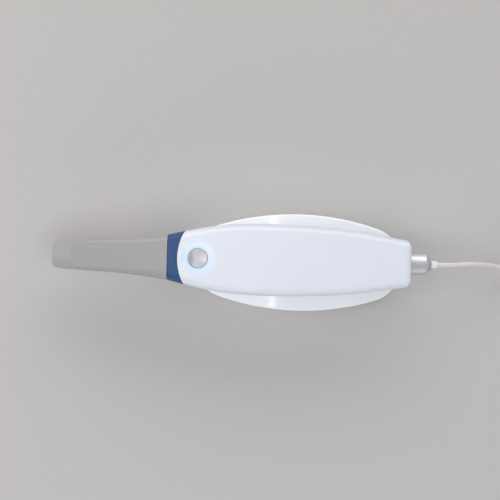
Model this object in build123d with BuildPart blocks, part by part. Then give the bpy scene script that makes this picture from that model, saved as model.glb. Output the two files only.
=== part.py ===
from build123d import *
from collections import namedtuple
import math
import os

os.makedirs("parts", exist_ok=True)

# Frame: origin on the table under the cradle, tip towards -X, cable towards +X, +Z up. All sizes
# are in millimetres.

# Place of the handpiece's long axis
AXIS_Y = 1.4
AXIS_Z = 26.0

# Cross-sections of the tip and of the handle, square to the long axis. half_width is at the
# height of the axis, top and bottom are measured from it. The corner between flank and crown
# stands in from the widest point by lean_top, the one at the keel by lean_keel, and they are
# rounded by shoulder and keel.
Station = namedtuple("Station", "x half_width top bottom lean_top lean_keel shoulder keel")

TIP_STATIONS = [
    Station(-148.0, 8.42, 7.5, 8.2, 0.6, 0.9, 1.8, 1.8),
    Station(-130.2, 9.12, 7.6, 8.3, 0.6, 1.0, 2.0, 2.0),
    Station(-118.2, 9.57, 8.0, 8.6, 0.7, 1.1, 2.5, 2.2),
    Station(-106.2, 10.30, 8.8, 9.2, 0.9, 1.4, 3.1, 2.6),
    Station(-94.2, 11.35, 9.9, 10.2, 1.2, 2.2, 3.8, 3.2),
    Station(-82.2, 12.75, 11.6, 11.7, 1.5, 3.6, 4.5, 4.2),
    Station(-77.3, 13.38, 12.4, 12.4, 1.6, 4.4, 4.6, 4.8),
]
BODY_STATIONS = [
    Station(-77.0, 13.45, 12.5, 12.5, 1.6, 4.5, 4.6, 5.0),
    Station(-67.8, 15.60, 14.3, 14.2, 1.8, 6.0, 4.4, 6.0),
    Station(-51.0, 18.80, 15.6, 16.0, 2.0, 8.0, 3.8, 7.0),
    Station(-34.2, 20.65, 16.2, 17.2, 2.0, 9.0, 3.5, 8.0),
    Station(-16.2, 21.10, 16.5, 17.5, 2.0, 9.2, 3.5, 8.0),
    Station(1.8, 20.80, 16.4, 17.3, 2.0, 9.0, 3.5, 8.0),
    Station(19.8, 19.85, 15.9, 16.6, 2.0, 8.4, 3.5, 7.5),
    Station(37.8, 18.00, 15.2, 15.4, 1.9, 7.4, 3.5, 7.0),
    Station(52.8, 15.75, 14.4, 14.2, 1.8, 6.2, 3.5, 6.0),
    Station(67.1, 13.62, 13.7, 12.9, 1.6, 5.0, 3.5, 5.0),
]
CROWN_SHARE = 0.045
KEEL_SHARE = 0.06

# Handle shells
SHELL_WALL = 2.0
REAR_WALL = 2.4
REAR_ROUND = 3.4
SEAM = 0.12
LIP_WALL = 0.9
LIP_HEIGHT = 1.2
LIP_CLEARANCE = 0.1

# Nose of the shells, an arc in the top view over the blue collar
NOSE_X = -71.1
NOSE_RADIUS = 33.0
NOSE_SEAM = 0.15
SPIGOT_END_X = -72.0
SPIGOT_CLEARANCE = 0.15

# Removable tip
TIP_WALL = 1.6
TIP_END_ROUND = 1.5
SLOPE_TOP_X = -135.0
SLOPE_ANGLE = 45.0
SLOPE_CROWN_RADIUS = 15.0
SLOPE_WALL = 2.7
MIRROR_THICKNESS = 1.0
MIRROR_HALF_WIDTH = 6.5
MIRROR_START = 0.4
MIRROR_LENGTH = 14.4
WINDOW_FRONT_X = -144.6
WINDOW_REAR_X = -131.5
WINDOW_HALF_WIDTH = 6.0
WINDOW_CORNER = 1.5
WINDOW_CUT_HEIGHT = 1.0

# Snout that carries the tip
SNOUT_FRONT_X = -112.0
SNOUT_ROOT_X = -70.0
SNOUT_CLEARANCE = 0.4
SNOUT_WALL = 1.4
SNOUT_FLANGE_LENGTH = 1.9
SNOUT_FLANGE_CLEARANCE = 0.25
ROOT_CLEARANCE = 0.1
BULKHEAD_FRONT_X = -79.0
BULKHEAD_REAR_X = -74.0
GLASS_THICKNESS = 1.2
GLASS_RIM = 0.7
FIT_GAP = 0.05

# Optics
BARREL_RADIUS = 4.6
BARREL_FRONT_X = -98.0
BARREL_REAR_X = -68.0
BARREL_THROAT_RADIUS = 3.2
FRONT_LENS_RADIUS = 3.8
FRONT_LENS_THICKNESS = 2.2
FRONT_LENS_CURVE = 11.0
PRISM_SIZE = 9.0
PRISM_FRONT_X = -65.0
PRISM_CHAMFER = 0.4
ENGINE_LENGTH = 9.0
ENGINE_DEPTH = 6.4
ENGINE_NOSE_RADIUS = 3.2
ENGINE_NOSE_LENGTH = 1.2
ENGINE_FINS = 5
ENGINE_FIN_DEPTH = 3.0
SENSOR_BOARD_X = -50.0
SENSOR_BOARD_THICKNESS = 1.2
SENSOR_BOARD_HEIGHT = 10.4
SENSOR_BOARD_WIDTH = 15.0
SENSOR_SIZE = 7.0
SENSOR_THICKNESS = 1.1

# Chassis and boards
CHASSIS_FRONT_X = -65.8
CHASSIS_REAR_X = 50.0
CHASSIS_HALF_WIDTH = 12.0
CHASSIS_FLOOR_Z = -6.0
CHASSIS_WALL = 1.4
CHASSIS_RAIL_HEIGHT = 4.2
CHASSIS_SLOTS = 4
CHASSIS_SLOT_PITCH = 17.0
CHASSIS_SLOT_LENGTH = 12.0
CHASSIS_SLOT_WIDTH = 6.0
CHASSIS_POST_X = 38.0
CHASSIS_POST_Y = 8.6
POST_RADIUS = 2.6
SCREW_RADIUS = 0.95
SCREW_HEAD_RADIUS = 1.8
SCREW_HEAD_HEIGHT = 1.1
SCREW_HOLE_CLEARANCE = 0.1
SCREW_DEPTH = 4.5
BOARD_FRONT_X = -44.0
BOARD_REAR_X = 47.0
BOARD_HALF_WIDTH = 10.2
BOARD_THICKNESS = 1.6
BOARD_STANDOFF = 1.4
BOARD_CORNER = 1.5
BOARD_SCREW_X = 29.0
BOARD_SCREW_Y = 7.6
PROCESSOR_SIZE = 13.0
PROCESSOR_THICKNESS = 1.4
PROCESSOR_X = -8.0
CONNECTOR_LENGTH = 6.0
CONNECTOR_WIDTH = 9.0
INNER_LEAD_RADIUS = 1.3

# Button with its light ring
BUTTON_X = -59.0
BUTTON_TILT = 4.6
BUTTON_RADIUS = 5.8
BUTTON_GAP = 0.2
BUTTON_EDGE_Z = 14.5
BUTTON_EDGE_ROUND = 0.3
BUTTON_UNDERSIDE_Z = 11.0
BUTTON_DISH_RADIUS = 24.0
BUTTON_DISH_DEPTH = 0.6
BUTTON_FLANGE_RADIUS = 6.8
BUTTON_FLANGE_HEIGHT = 1.0
BUTTON_STEM_RADIUS = 1.4
BUTTON_STEM_LENGTH = 0.55
BUTTON_TRAVEL = 0.8
BUTTON_STOP_GAP = 0.2
RING_RADIUS = 9.6
RING_OUTER_Z = 14.75
RING_INNER_Z = 14.45
RING_SKIRT_RADIUS = 7.2
RING_BOTTOM_Z = 8.7
RING_FLANGE_RADIUS = 10.6
RING_FLANGE_Z = 10.2
RING_FLANGE_HEIGHT = 0.9
POCKET_DEPTH = 3.0
POCKET_TAPER = 55.0
BUTTON_BOARD_TOP_Z = 7.5
BUTTON_BOARD_THICKNESS = 1.0
BUTTON_BOARD_RADIUS = 9.5
BUTTON_EAR_WIDTH = 4.6
BUTTON_EAR_REACH = 14.3
BUTTON_POST_Y = 12.7
BUTTON_POST_RADIUS = 1.8
SWITCH_SIZE = 5.0
SWITCH_BODY_HEIGHT = 1.7
SWITCH_PLUNGER_RADIUS = 1.2
LED_COUNT = 8
LED_CIRCLE_RADIUS = 8.4
LED_LENGTH = 1.6
LED_WIDTH = 0.8
LED_HEIGHT = 0.7
LED_START_ANGLE = 22.5

# Cable gland in the rear wall
GLAND_RADIUS = 6.4
GLAND_LENGTH = 11.5
GLAND_CHAMFER = 1.7
GLAND_SHANK_RADIUS = 4.2
GLAND_SHANK_LENGTH = 6.4
GLAND_BORE_RADIUS = 2.3
GLAND_HOLE_CLEARANCE = 0.1
NUT_FLATS = 11.0
NUT_THICKNESS = 2.8
GLAND_RING_RADIUS = 3.75
GLAND_RING_LENGTH = 1.6
RELIEF_RADIUS = 2.25
RELIEF_END_RADIUS = 2.05
RELIEF_STUB = 3.4
RELIEF_LIP = 0.8

# Cable, its put-away coil and its plug
CABLE_DIAMETER = 2.7
CABLE_LENGTH = 2000.0
COIL_CENTRE = (170.0, 0.4)
COIL_LAYERS = 4
COIL_ROWS = 5
COIL_MEAN_DIAMETER = 30.0
COIL_CORNER = 1.3
ARC_SHARE = 0.45
TIE_WIDTH = 9.0
TIE_THICKNESS = 0.8
TIE_ANGLE = 90.0
PLUG_X = 196.5
PLUG_START_Y = 0.5
PLUG_HEIGHT = 6.2
PLUG_WIDTH = 11.6
PLUG_LENGTH = 22.0
PLUG_SHOULDER = 1.2
PLUG_RELIEF_LENGTH = 6.0
PLUG_RELIEF_RADIUS = 2.6
PLUG_RELIEF_WALL = 0.5
PLUG_SHELL_WIDTH = 8.25
PLUG_SHELL_HEIGHT = 2.4
PLUG_SHELL_WALL = 0.3
PLUG_SHELL_LENGTH = 6.65
PLUG_TONGUE_WIDTH = 6.6
PLUG_TONGUE_THICKNESS = 0.7

# Cradle
CRADLE_CENTRE = (1.0, 0.3)
CRADLE_HALF_LENGTH = 63.0
CRADLE_HALF_WIDTH = 29.8
CRADLE_SIDE_RADIUS = 164.0
CRADLE_END_ROUND = 20.0
CRADLE_DRAFT = 5.0
CRADLE_BOTTOM_Z = 1.0
CRADLE_CREST_Z = 20.0
CRADLE_SHEER_RADIUS = 260.0
CRADLE_CROWN_RADIUS = 120.0
CRADLE_RIM_ROUND = 1.4
CRADLE_WALL = 2.2
CHANNEL_CLEARANCE = 1.7
PAD_THICKNESS = 1.6
PAD_LENGTH = 16.0
PAD_X = (-38.0, 34.0)
PAD_TOP_Z = -9.0
BASE_THICKNESS = 2.0
BASE_CLEARANCE = 0.15
BASE_SCREW = (22.0, 14.0)
BASE_BOSS_RADIUS = 3.0
GRIP_INSET = 4.0

BIG = 400.0


def along_x(x):
    """Plane square to the long axis: its own x runs to +Y and its own y runs up."""
    return Plane(origin=(x, AXIS_Y, AXIS_Z), x_dir=(0, 1, 0), z_dir=(1, 0, 0))


def skin_solid(stations, inset, low_x, high_x):
    """Solid inside the skin that runs through the stations, inset from it, between two planes."""
    with BuildPart() as solid:
        for station in stations:
            half_width = station.half_width - inset
            top = station.top - inset
            bottom = station.bottom - inset
            shoulder_y = half_width - station.lean_top
            shoulder_z = top - CROWN_SHARE * half_width
            keel_y = half_width - station.lean_keel
            keel_z = KEEL_SHARE * half_width - bottom
            with BuildSketch(along_x(station.x)) as outline:
                with BuildLine():
                    ThreePointArc((-shoulder_y, shoulder_z), (0, top), (shoulder_y, shoulder_z))
                    ThreePointArc((shoulder_y, shoulder_z), (half_width, 0), (keel_y, keel_z))
                    ThreePointArc((keel_y, keel_z), (0, -bottom), (-keel_y, keel_z))
                    ThreePointArc((-keel_y, keel_z), (-half_width, 0), (-shoulder_y, shoulder_z))
                make_face()
                upper = outline.vertices().group_by(Axis.Y)[-1]
                fillet(upper, radius=max(station.shoulder - inset, 0.6))
                lower = outline.vertices().group_by(Axis.Y)[0]
                fillet(lower, radius=max(station.keel - inset, 0.6))
        loft()
        with Locations(((low_x + high_x) / 2, AXIS_Y, AXIS_Z)):
            Box(high_x - low_x, BIG, BIG, mode=Mode.INTERSECT)
    return solid.part


def x_cylinder(radius, low_x, high_x):
    """Round bar on the handpiece's long axis."""
    with BuildPart() as bar:
        with BuildSketch(along_x(low_x)):
            Circle(radius)
        extrude(amount=high_x - low_x)
    return bar.part


BODY_FRONT_X = BODY_STATIONS[0].x
BODY_REAR_X = BODY_STATIONS[-1].x
TIP_REAR_X = TIP_STATIONS[-1].x
TIP_END_X = TIP_STATIONS[0].x


def slab(low_z, high_z):
    """Everything between two heights above the table."""
    with BuildPart() as layer:
        with BuildSketch(Plane.XY.offset(low_z)):
            Rectangle(2 * BIG, BIG)
        extrude(amount=high_z - low_z)
    return layer.part


def discs(places, radius, low_z, high_z):
    """Round upright bars at some places between two heights above the table."""
    with BuildPart() as bars:
        with BuildSketch(Plane.XY.offset(low_z)):
            with Locations(places):
                Circle(radius)
        extrude(amount=high_z - low_z)
    return bars.part


def screws(places, seat, direction):
    """Pan-head screws seated on a plane, with shanks along its normal (1) or against it (-1)."""
    with BuildPart() as screw_set:
        with BuildSketch(seat):
            with Locations(places):
                Circle(SCREW_HEAD_RADIUS)
        extrude(amount=-direction * SCREW_HEAD_HEIGHT)
        with BuildSketch(seat):
            with Locations(places):
                Circle(SCREW_RADIUS)
        extrude(amount=direction * SCREW_DEPTH)
    return screw_set.part


def button_level(height):
    """Plane across the button's axis at a height, leaned so that it follows the shell's crown."""
    lean = math.radians(BUTTON_TILT)
    surface = Plane(
        origin=(BUTTON_X, AXIS_Y, AXIS_Z + RING_OUTER_Z),
        x_dir=(math.cos(lean), 0, math.sin(lean)),
        z_dir=(-math.sin(lean), 0, math.cos(lean)),
    )
    return surface.offset(height - RING_OUTER_Z)


def button_discs(places, radius, low, high):
    """Round bars along the button's axis at some places beside it, between two heights."""
    with BuildPart() as bars:
        with BuildSketch(button_level(low)):
            with Locations(places):
                Circle(radius)
        extrude(amount=high - low)
    return bars.part


def four_places(x, y):
    """Four corners of a rectangle round the middle of the handpiece's axis in the top view."""
    return [(side_x * x, AXIS_Y + side_y * y) for side_x in (-1, 1) for side_y in (-1, 1)]


# Places and heights that several pieces share
chassis_places = four_places(CHASSIS_POST_X, CHASSIS_POST_Y)
board_places = four_places(BOARD_SCREW_X, BOARD_SCREW_Y)
button_places = [(0, side * BUTTON_POST_Y) for side in (-1, 1)]
button_centre = [(0, 0)]
screw_hole_radius = SCREW_RADIUS + SCREW_HOLE_CLEARANCE
chassis_bottom = AXIS_Z + CHASSIS_FLOOR_Z
chassis_top = chassis_bottom + CHASSIS_WALL
board_bottom = chassis_top + BOARD_STANDOFF
board_top = board_bottom + BOARD_THICKNESS
button_board_bottom = BUTTON_BOARD_TOP_Z - BUTTON_BOARD_THICKNESS
shell_inner_rear_x = BODY_REAR_X - REAR_WALL

# Solids inside the skin of the handle, from which its pieces are cut
body_cavity = skin_solid(BODY_STATIONS, SHELL_WALL, BODY_FRONT_X, shell_inner_rear_x)
wall_core = skin_solid(BODY_STATIONS, SHELL_WALL / 2, BODY_FRONT_X, shell_inner_rear_x)
lip_outside = skin_solid(BODY_STATIONS, SHELL_WALL - LIP_WALL, BODY_FRONT_X,
                         shell_inner_rear_x + LIP_WALL)
rebate_outside = skin_solid(BODY_STATIONS, SHELL_WALL - LIP_WALL - LIP_CLEARANCE, BODY_FRONT_X,
                            shell_inner_rear_x + LIP_WALL + LIP_CLEARANCE)
gland_hole = x_cylinder(GLAND_SHANK_RADIUS + GLAND_HOLE_CLEARANCE, shell_inner_rear_x - 1,
                        BODY_REAR_X + 1)

# Handle body before it is parted, with its rounded rear edge
with BuildPart() as handle:
    add(skin_solid(BODY_STATIONS, 0.0, BODY_FRONT_X, BODY_REAR_X))
    fillet(handle.faces().sort_by(Axis.X)[-1].edges(), radius=REAR_ROUND)


def nose_front(gap):
    """Space in front of the nose arc, which stands a gap ahead of it."""
    with BuildPart() as space:
        with BuildSketch(Plane.XY):
            with Locations((BODY_FRONT_X, AXIS_Y)):
                Rectangle(2 * NOSE_RADIUS, BIG)
            with Locations((NOSE_X + NOSE_RADIUS, AXIS_Y)):
                Circle(NOSE_RADIUS + gap, mode=Mode.SUBTRACT)
            with Locations((NOSE_X + NOSE_RADIUS, AXIS_Y)):
                Rectangle(NOSE_RADIUS, BIG, align=(Align.MIN, Align.CENTER), mode=Mode.SUBTRACT)
        extrude(amount=BIG / 4)
    return space.part


# Lip groove in the upper shell, and the lip itself
with BuildPart() as lip_groove:
    add(rebate_outside)
    add(slab(AXIS_Z, AXIS_Z + LIP_HEIGHT + LIP_CLEARANCE), mode=Mode.INTERSECT)

with BuildPart() as lip:
    add(lip_outside)
    add(slab(AXIS_Z - SHELL_WALL, AXIS_Z + LIP_HEIGHT), mode=Mode.INTERSECT)
    add(body_cavity, mode=Mode.SUBTRACT)

with BuildPart() as button_posts:
    add(button_discs(button_places, BUTTON_POST_RADIUS, BUTTON_BOARD_TOP_Z, BODY_STATIONS[2].top))
    add(wall_core, mode=Mode.INTERSECT)

with BuildPart() as chassis_posts:
    add(discs(chassis_places, POST_RADIUS, AXIS_Z - BODY_STATIONS[4].bottom, chassis_bottom))
    add(wall_core, mode=Mode.INTERSECT)

# Upper shell: crowned top with the button pocket, grooved for the lip of the lower shell
with BuildPart() as upper_shell:
    add(handle.part)
    add(body_cavity, mode=Mode.SUBTRACT)
    add(slab(0, AXIS_Z + SEAM), mode=Mode.SUBTRACT)
    add(lip_groove.part, mode=Mode.SUBTRACT)
    add(nose_front(0), mode=Mode.SUBTRACT)
    add(button_posts.part)
    with BuildSketch(button_level(RING_OUTER_Z)):
        Circle(RING_RADIUS + FIT_GAP)
    extrude(amount=POCKET_DEPTH, taper=-POCKET_TAPER, mode=Mode.SUBTRACT)
    add(button_discs(button_centre, RING_RADIUS + FIT_GAP, RING_FLANGE_Z, RING_OUTER_Z),
        mode=Mode.SUBTRACT)
    add(button_discs(button_places, SCREW_RADIUS, BUTTON_BOARD_TOP_Z,
                     button_board_bottom + SCREW_DEPTH + FIT_GAP), mode=Mode.SUBTRACT)
    add(gland_hole, mode=Mode.SUBTRACT)
upper_shell.part.label = "upper_shell"
export_step(upper_shell.part, "parts/upper_shell.step")

# Lower shell: rounded belly with the lip all round and the posts that carry the chassis
with BuildPart() as lower_shell:
    add(handle.part)
    add(body_cavity, mode=Mode.SUBTRACT)
    add(slab(AXIS_Z, 2 * AXIS_Z), mode=Mode.SUBTRACT)
    add(lip.part)
    add(nose_front(0), mode=Mode.SUBTRACT)
    add(chassis_posts.part)
    add(discs(chassis_places, SCREW_RADIUS, chassis_top - SCREW_DEPTH - FIT_GAP,
              chassis_bottom), mode=Mode.SUBTRACT)
    add(gland_hole, mode=Mode.SUBTRACT)
lower_shell.part.label = "lower_shell"
export_step(lower_shell.part, "parts/lower_shell.step")

# Snout: tapered tube that the tip slides over, its straight root passes through the collar and
# ends in a flange behind it
snout_inset = TIP_WALL + SNOUT_CLEARANCE
flange_front_x = SPIGOT_END_X + FIT_GAP
tip_root = TIP_STATIONS[-1]
root_stations = [tip_root, tip_root._replace(x=SNOUT_ROOT_X)]
snout_outside = skin_solid(TIP_STATIONS, snout_inset, SNOUT_FRONT_X, TIP_REAR_X)
snout_inside = skin_solid(TIP_STATIONS, snout_inset + SNOUT_WALL, SNOUT_FRONT_X, BULKHEAD_FRONT_X)
window_seat = skin_solid(TIP_STATIONS, snout_inset + GLASS_RIM, SNOUT_FRONT_X,
                         SNOUT_FRONT_X + GLASS_THICKNESS + FIT_GAP)
root_outside = skin_solid(root_stations, snout_inset, TIP_REAR_X, SNOUT_ROOT_X)
root_inside = skin_solid(root_stations, snout_inset + SNOUT_WALL, BULKHEAD_REAR_X, SNOUT_ROOT_X)
flange = skin_solid(BODY_STATIONS, SHELL_WALL + SNOUT_FLANGE_CLEARANCE, flange_front_x,
                    flange_front_x + SNOUT_FLANGE_LENGTH)

with BuildPart() as optical_snout:
    add(snout_outside)
    add(root_outside)
    add(flange)
    add(snout_inside, mode=Mode.SUBTRACT)
    add(window_seat, mode=Mode.SUBTRACT)
    add(root_inside, mode=Mode.SUBTRACT)
    add(x_cylinder(BARREL_RADIUS + FIT_GAP, BULKHEAD_FRONT_X - 1, BULKHEAD_REAR_X + 1),
        mode=Mode.SUBTRACT)
optical_snout.part.label = "optical_snout"
export_step(optical_snout.part, "parts/optical_snout.step")

# Glass window that closes the snout
with BuildPart() as snout_window:
    add(skin_solid(TIP_STATIONS, snout_inset + GLASS_RIM + FIT_GAP, SNOUT_FRONT_X,
                   SNOUT_FRONT_X + GLASS_THICKNESS))
snout_window.part.label = "snout_window"
export_step(snout_window.part, "parts/snout_window.step")

# Blue collar: ring ahead of the nose arc, with a spigot inside the shells
with BuildPart() as collar_front:
    add(skin_solid(BODY_STATIONS, 0.0, BODY_FRONT_X, NOSE_X + NOSE_RADIUS / 2))
    add(nose_front(NOSE_SEAM), mode=Mode.INTERSECT)

with BuildPart() as front_collar:
    add(collar_front.part)
    add(skin_solid(BODY_STATIONS, SHELL_WALL, SPIGOT_END_X, NOSE_X + NOSE_RADIUS / 2),
        mode=Mode.SUBTRACT)
    add(skin_solid(BODY_STATIONS, SHELL_WALL + SPIGOT_CLEARANCE, BODY_FRONT_X, SPIGOT_END_X))
    add(skin_solid([tip_root._replace(x=BODY_FRONT_X - 1), tip_root._replace(x=SNOUT_ROOT_X)],
                   snout_inset - ROOT_CLEARANCE, BODY_FRONT_X - 1, SNOUT_ROOT_X),
        mode=Mode.SUBTRACT)
front_collar.part.label = "front_collar"
export_step(front_collar.part, "parts/front_collar.step")

# Tip: thin moulded sleeve that narrows to a head with a crowned slope over the mirror
slope_plane = Plane(
    origin=(SLOPE_TOP_X, AXIS_Y, AXIS_Z + TIP_STATIONS[0].top),
    x_dir=(0, 1, 0),
    z_dir=(math.cos(math.radians(SLOPE_ANGLE)), 0, math.sin(math.radians(SLOPE_ANGLE))),
)
tip_floor_z = AXIS_Z - TIP_STATIONS[0].bottom + TIP_WALL
slope_reach = 0.9 * SLOPE_CROWN_RADIUS
slope_drop = SLOPE_CROWN_RADIUS - math.sqrt(SLOPE_CROWN_RADIUS**2 - slope_reach**2)

with BuildPart() as above_slope:
    with BuildSketch(slope_plane):
        with BuildLine():
            ThreePointArc((-slope_reach, -slope_drop), (0, 0), (slope_reach, -slope_drop))
            Polyline((slope_reach, -slope_drop), (slope_reach, BIG / 10), (-slope_reach, BIG / 10),
                     (-slope_reach, -slope_drop))
        make_face()
    extrude(amount=BIG / 10, both=True)

with BuildPart() as tip_cavity:
    add(skin_solid(TIP_STATIONS, TIP_WALL, TIP_END_X + TIP_WALL, TIP_REAR_X))
    with BuildSketch(slope_plane):
        with Locations((0, -SLOPE_WALL)):
            Rectangle(BIG / 10, BIG / 10, align=(Align.CENTER, Align.MIN))
    extrude(amount=BIG / 10, both=True, mode=Mode.SUBTRACT)

with BuildPart() as tip_shell:
    add(skin_solid(TIP_STATIONS, 0.0, TIP_END_X, TIP_REAR_X))
    fillet(tip_shell.faces().sort_by(Axis.X)[0].edges(), radius=TIP_END_ROUND)
    add(above_slope.part, mode=Mode.SUBTRACT)
    add(tip_cavity.part, mode=Mode.SUBTRACT)
    with BuildSketch(Plane.XY.offset(tip_floor_z + WINDOW_CUT_HEIGHT)):
        with Locations(((WINDOW_FRONT_X + WINDOW_REAR_X) / 2, AXIS_Y)):
            RectangleRounded(WINDOW_REAR_X - WINDOW_FRONT_X, 2 * WINDOW_HALF_WIDTH, WINDOW_CORNER)
    extrude(amount=-AXIS_Z, mode=Mode.SUBTRACT)
tip_shell.part.label = "tip_shell"
export_step(tip_shell.part, "parts/tip_shell.step")

# Mirror under the slope, parallel to it
with BuildPart() as tip_mirror:
    with BuildSketch(slope_plane.offset(-MIRROR_START)):
        with Locations((0, -SLOPE_WALL - FIT_GAP)):
            Rectangle(2 * MIRROR_HALF_WIDTH, MIRROR_THICKNESS, align=(Align.CENTER, Align.MAX))
    extrude(amount=-MIRROR_LENGTH)
tip_mirror.part.label = "tip_mirror"
export_step(tip_mirror.part, "parts/tip_mirror.step")

# Objective barrel in the bulkhead of the snout, and its front lens
with BuildPart() as lens_barrel:
    with BuildSketch(Plane.XZ.offset(-AXIS_Y)):
        with Locations((BARREL_FRONT_X, AXIS_Z)):
            Rectangle(BARREL_REAR_X - BARREL_FRONT_X, BARREL_RADIUS,
                      align=(Align.MIN, Align.MIN))
        with Locations((BARREL_FRONT_X, AXIS_Z)):
            Rectangle(FRONT_LENS_THICKNESS, FRONT_LENS_RADIUS + FIT_GAP,
                      align=(Align.MIN, Align.MIN), mode=Mode.SUBTRACT)
        with Locations((BARREL_FRONT_X, AXIS_Z)):
            Rectangle(BARREL_REAR_X - BARREL_FRONT_X, BARREL_THROAT_RADIUS,
                      align=(Align.MIN, Align.MIN), mode=Mode.SUBTRACT)
    revolve(axis=Axis((0, AXIS_Y, AXIS_Z), (1, 0, 0)))
lens_barrel.part.label = "lens_barrel"
export_step(lens_barrel.part, "parts/lens_barrel.step")

with BuildPart() as front_lens:
    with BuildSketch(along_x(BARREL_FRONT_X)):
        Circle(FRONT_LENS_RADIUS)
    extrude(amount=FRONT_LENS_THICKNESS - FIT_GAP)
    with Locations((BARREL_FRONT_X + FRONT_LENS_CURVE, AXIS_Y, AXIS_Z)):
        Sphere(FRONT_LENS_CURVE, mode=Mode.INTERSECT)
front_lens.part.label = "front_lens"
export_step(front_lens.part, "parts/front_lens.step")

# Beam prism on the chassis floor behind the barrel
prism_x = PRISM_FRONT_X + PRISM_SIZE / 2
with BuildPart() as beam_prism:
    with BuildSketch(Plane.XY.offset(chassis_top + FIT_GAP)):
        with Locations((prism_x, AXIS_Y)):
            Rectangle(PRISM_SIZE, PRISM_SIZE)
    extrude(amount=PRISM_SIZE)
    chamfer(beam_prism.edges().filter_by(Axis.Z), length=PRISM_CHAMFER)
beam_prism.part.label = "beam_prism"
export_step(beam_prism.part, "parts/beam_prism.step")

# Projector beside the prism: finned block with a round nose
engine_near_y = AXIS_Y + PRISM_SIZE / 2 + ENGINE_NOSE_LENGTH + FIT_GAP
fin_pitch = ENGINE_LENGTH / ENGINE_FINS
with BuildPart() as light_engine:
    with BuildSketch(Plane.XY.offset(chassis_top + FIT_GAP)):
        with Locations((prism_x, engine_near_y)):
            Rectangle(ENGINE_LENGTH, ENGINE_DEPTH, align=(Align.CENTER, Align.MIN))
    extrude(amount=PRISM_SIZE)
    with BuildSketch(Plane.XY.offset(chassis_top + PRISM_SIZE / 2)):
        with Locations((prism_x, engine_near_y + ENGINE_DEPTH)):
            with GridLocations(fin_pitch, 0, ENGINE_FINS - 1, 1):
                Rectangle(fin_pitch / 2, ENGINE_FIN_DEPTH, align=(Align.CENTER, Align.MAX))
    extrude(amount=PRISM_SIZE, mode=Mode.SUBTRACT)
    with BuildSketch(Plane(origin=(prism_x, engine_near_y, chassis_top + PRISM_SIZE / 2),
                           z_dir=(0, -1, 0))):
        Circle(ENGINE_NOSE_RADIUS)
    extrude(amount=ENGINE_NOSE_LENGTH)
light_engine.part.label = "light_engine"
export_step(light_engine.part, "parts/light_engine.step")

# Camera board, upright on the chassis floor, with its sensor towards the prism
with BuildPart() as sensor_board:
    with BuildSketch(Plane.XY.offset(chassis_top + FIT_GAP)):
        with Locations((SENSOR_BOARD_X, AXIS_Y)):
            Rectangle(SENSOR_BOARD_THICKNESS, SENSOR_BOARD_WIDTH,
                      align=(Align.MIN, Align.CENTER))
    extrude(amount=SENSOR_BOARD_HEIGHT)
sensor_board.part.label = "sensor_board"
export_step(sensor_board.part, "parts/sensor_board.step")

with BuildPart() as image_sensor:
    with BuildSketch(along_x(SENSOR_BOARD_X)):
        Rectangle(SENSOR_SIZE, SENSOR_SIZE)
    extrude(amount=-SENSOR_THICKNESS)
    chamfer(image_sensor.faces().sort_by(Axis.X)[0].edges(), length=SENSOR_THICKNESS / 4)
image_sensor.part.label = "image_sensor"
export_step(image_sensor.part, "parts/image_sensor.step")

# Chassis: aluminium tray on the posts of the lower shell
chassis_length = CHASSIS_REAR_X - CHASSIS_FRONT_X
chassis_x = (CHASSIS_REAR_X + CHASSIS_FRONT_X) / 2
with BuildPart() as chassis_frame:
    with BuildSketch(Plane.XY.offset(chassis_bottom)):
        with Locations((chassis_x, AXIS_Y)):
            Rectangle(chassis_length, 2 * CHASSIS_HALF_WIDTH)
    extrude(amount=CHASSIS_RAIL_HEIGHT)
    with BuildSketch(Plane.XY.offset(chassis_top)):
        with Locations((chassis_x, AXIS_Y)):
            Rectangle(chassis_length, 2 * (CHASSIS_HALF_WIDTH - CHASSIS_WALL))
    extrude(amount=CHASSIS_RAIL_HEIGHT, mode=Mode.SUBTRACT)
    with BuildSketch(Plane.XY.offset(chassis_top)):
        with Locations((prism_x, engine_near_y)):
            Rectangle(ENGINE_LENGTH + 2 * FIT_GAP, CHASSIS_HALF_WIDTH,
                      align=(Align.CENTER, Align.MIN))
    extrude(amount=CHASSIS_RAIL_HEIGHT, mode=Mode.SUBTRACT)
    add(discs(board_places, POST_RADIUS, chassis_bottom, board_bottom))
    add(discs(chassis_places, screw_hole_radius, chassis_bottom, chassis_top),
        mode=Mode.SUBTRACT)
    add(discs(board_places, SCREW_RADIUS, chassis_bottom, board_bottom), mode=Mode.SUBTRACT)
    with BuildSketch(Plane.XY.offset(chassis_bottom)):
        with Locations((0, AXIS_Y)):
            with GridLocations(CHASSIS_SLOT_PITCH, 0, CHASSIS_SLOTS, 1):
                SlotOverall(CHASSIS_SLOT_LENGTH, CHASSIS_SLOT_WIDTH)
    extrude(amount=CHASSIS_WALL, mode=Mode.SUBTRACT)
chassis_frame.part.label = "chassis_frame"
export_step(chassis_frame.part, "parts/chassis_frame.step")

with BuildPart() as chassis_screws:
    add(screws(chassis_places, Plane.XY.offset(chassis_top), -1))
chassis_screws.part.label = "chassis_screws"
export_step(chassis_screws.part, "parts/chassis_screws.step")

# Main board on the chassis bosses, with its processor and the cable's connector
with BuildPart() as main_board:
    with BuildSketch(Plane.XY.offset(board_bottom)):
        with Locations(((BOARD_FRONT_X + BOARD_REAR_X) / 2, AXIS_Y)):
            RectangleRounded(BOARD_REAR_X - BOARD_FRONT_X, 2 * BOARD_HALF_WIDTH, BOARD_CORNER)
    extrude(amount=BOARD_THICKNESS)
    add(discs(board_places, screw_hole_radius, board_bottom, board_top), mode=Mode.SUBTRACT)
main_board.part.label = "main_board"
export_step(main_board.part, "parts/main_board.step")

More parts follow.
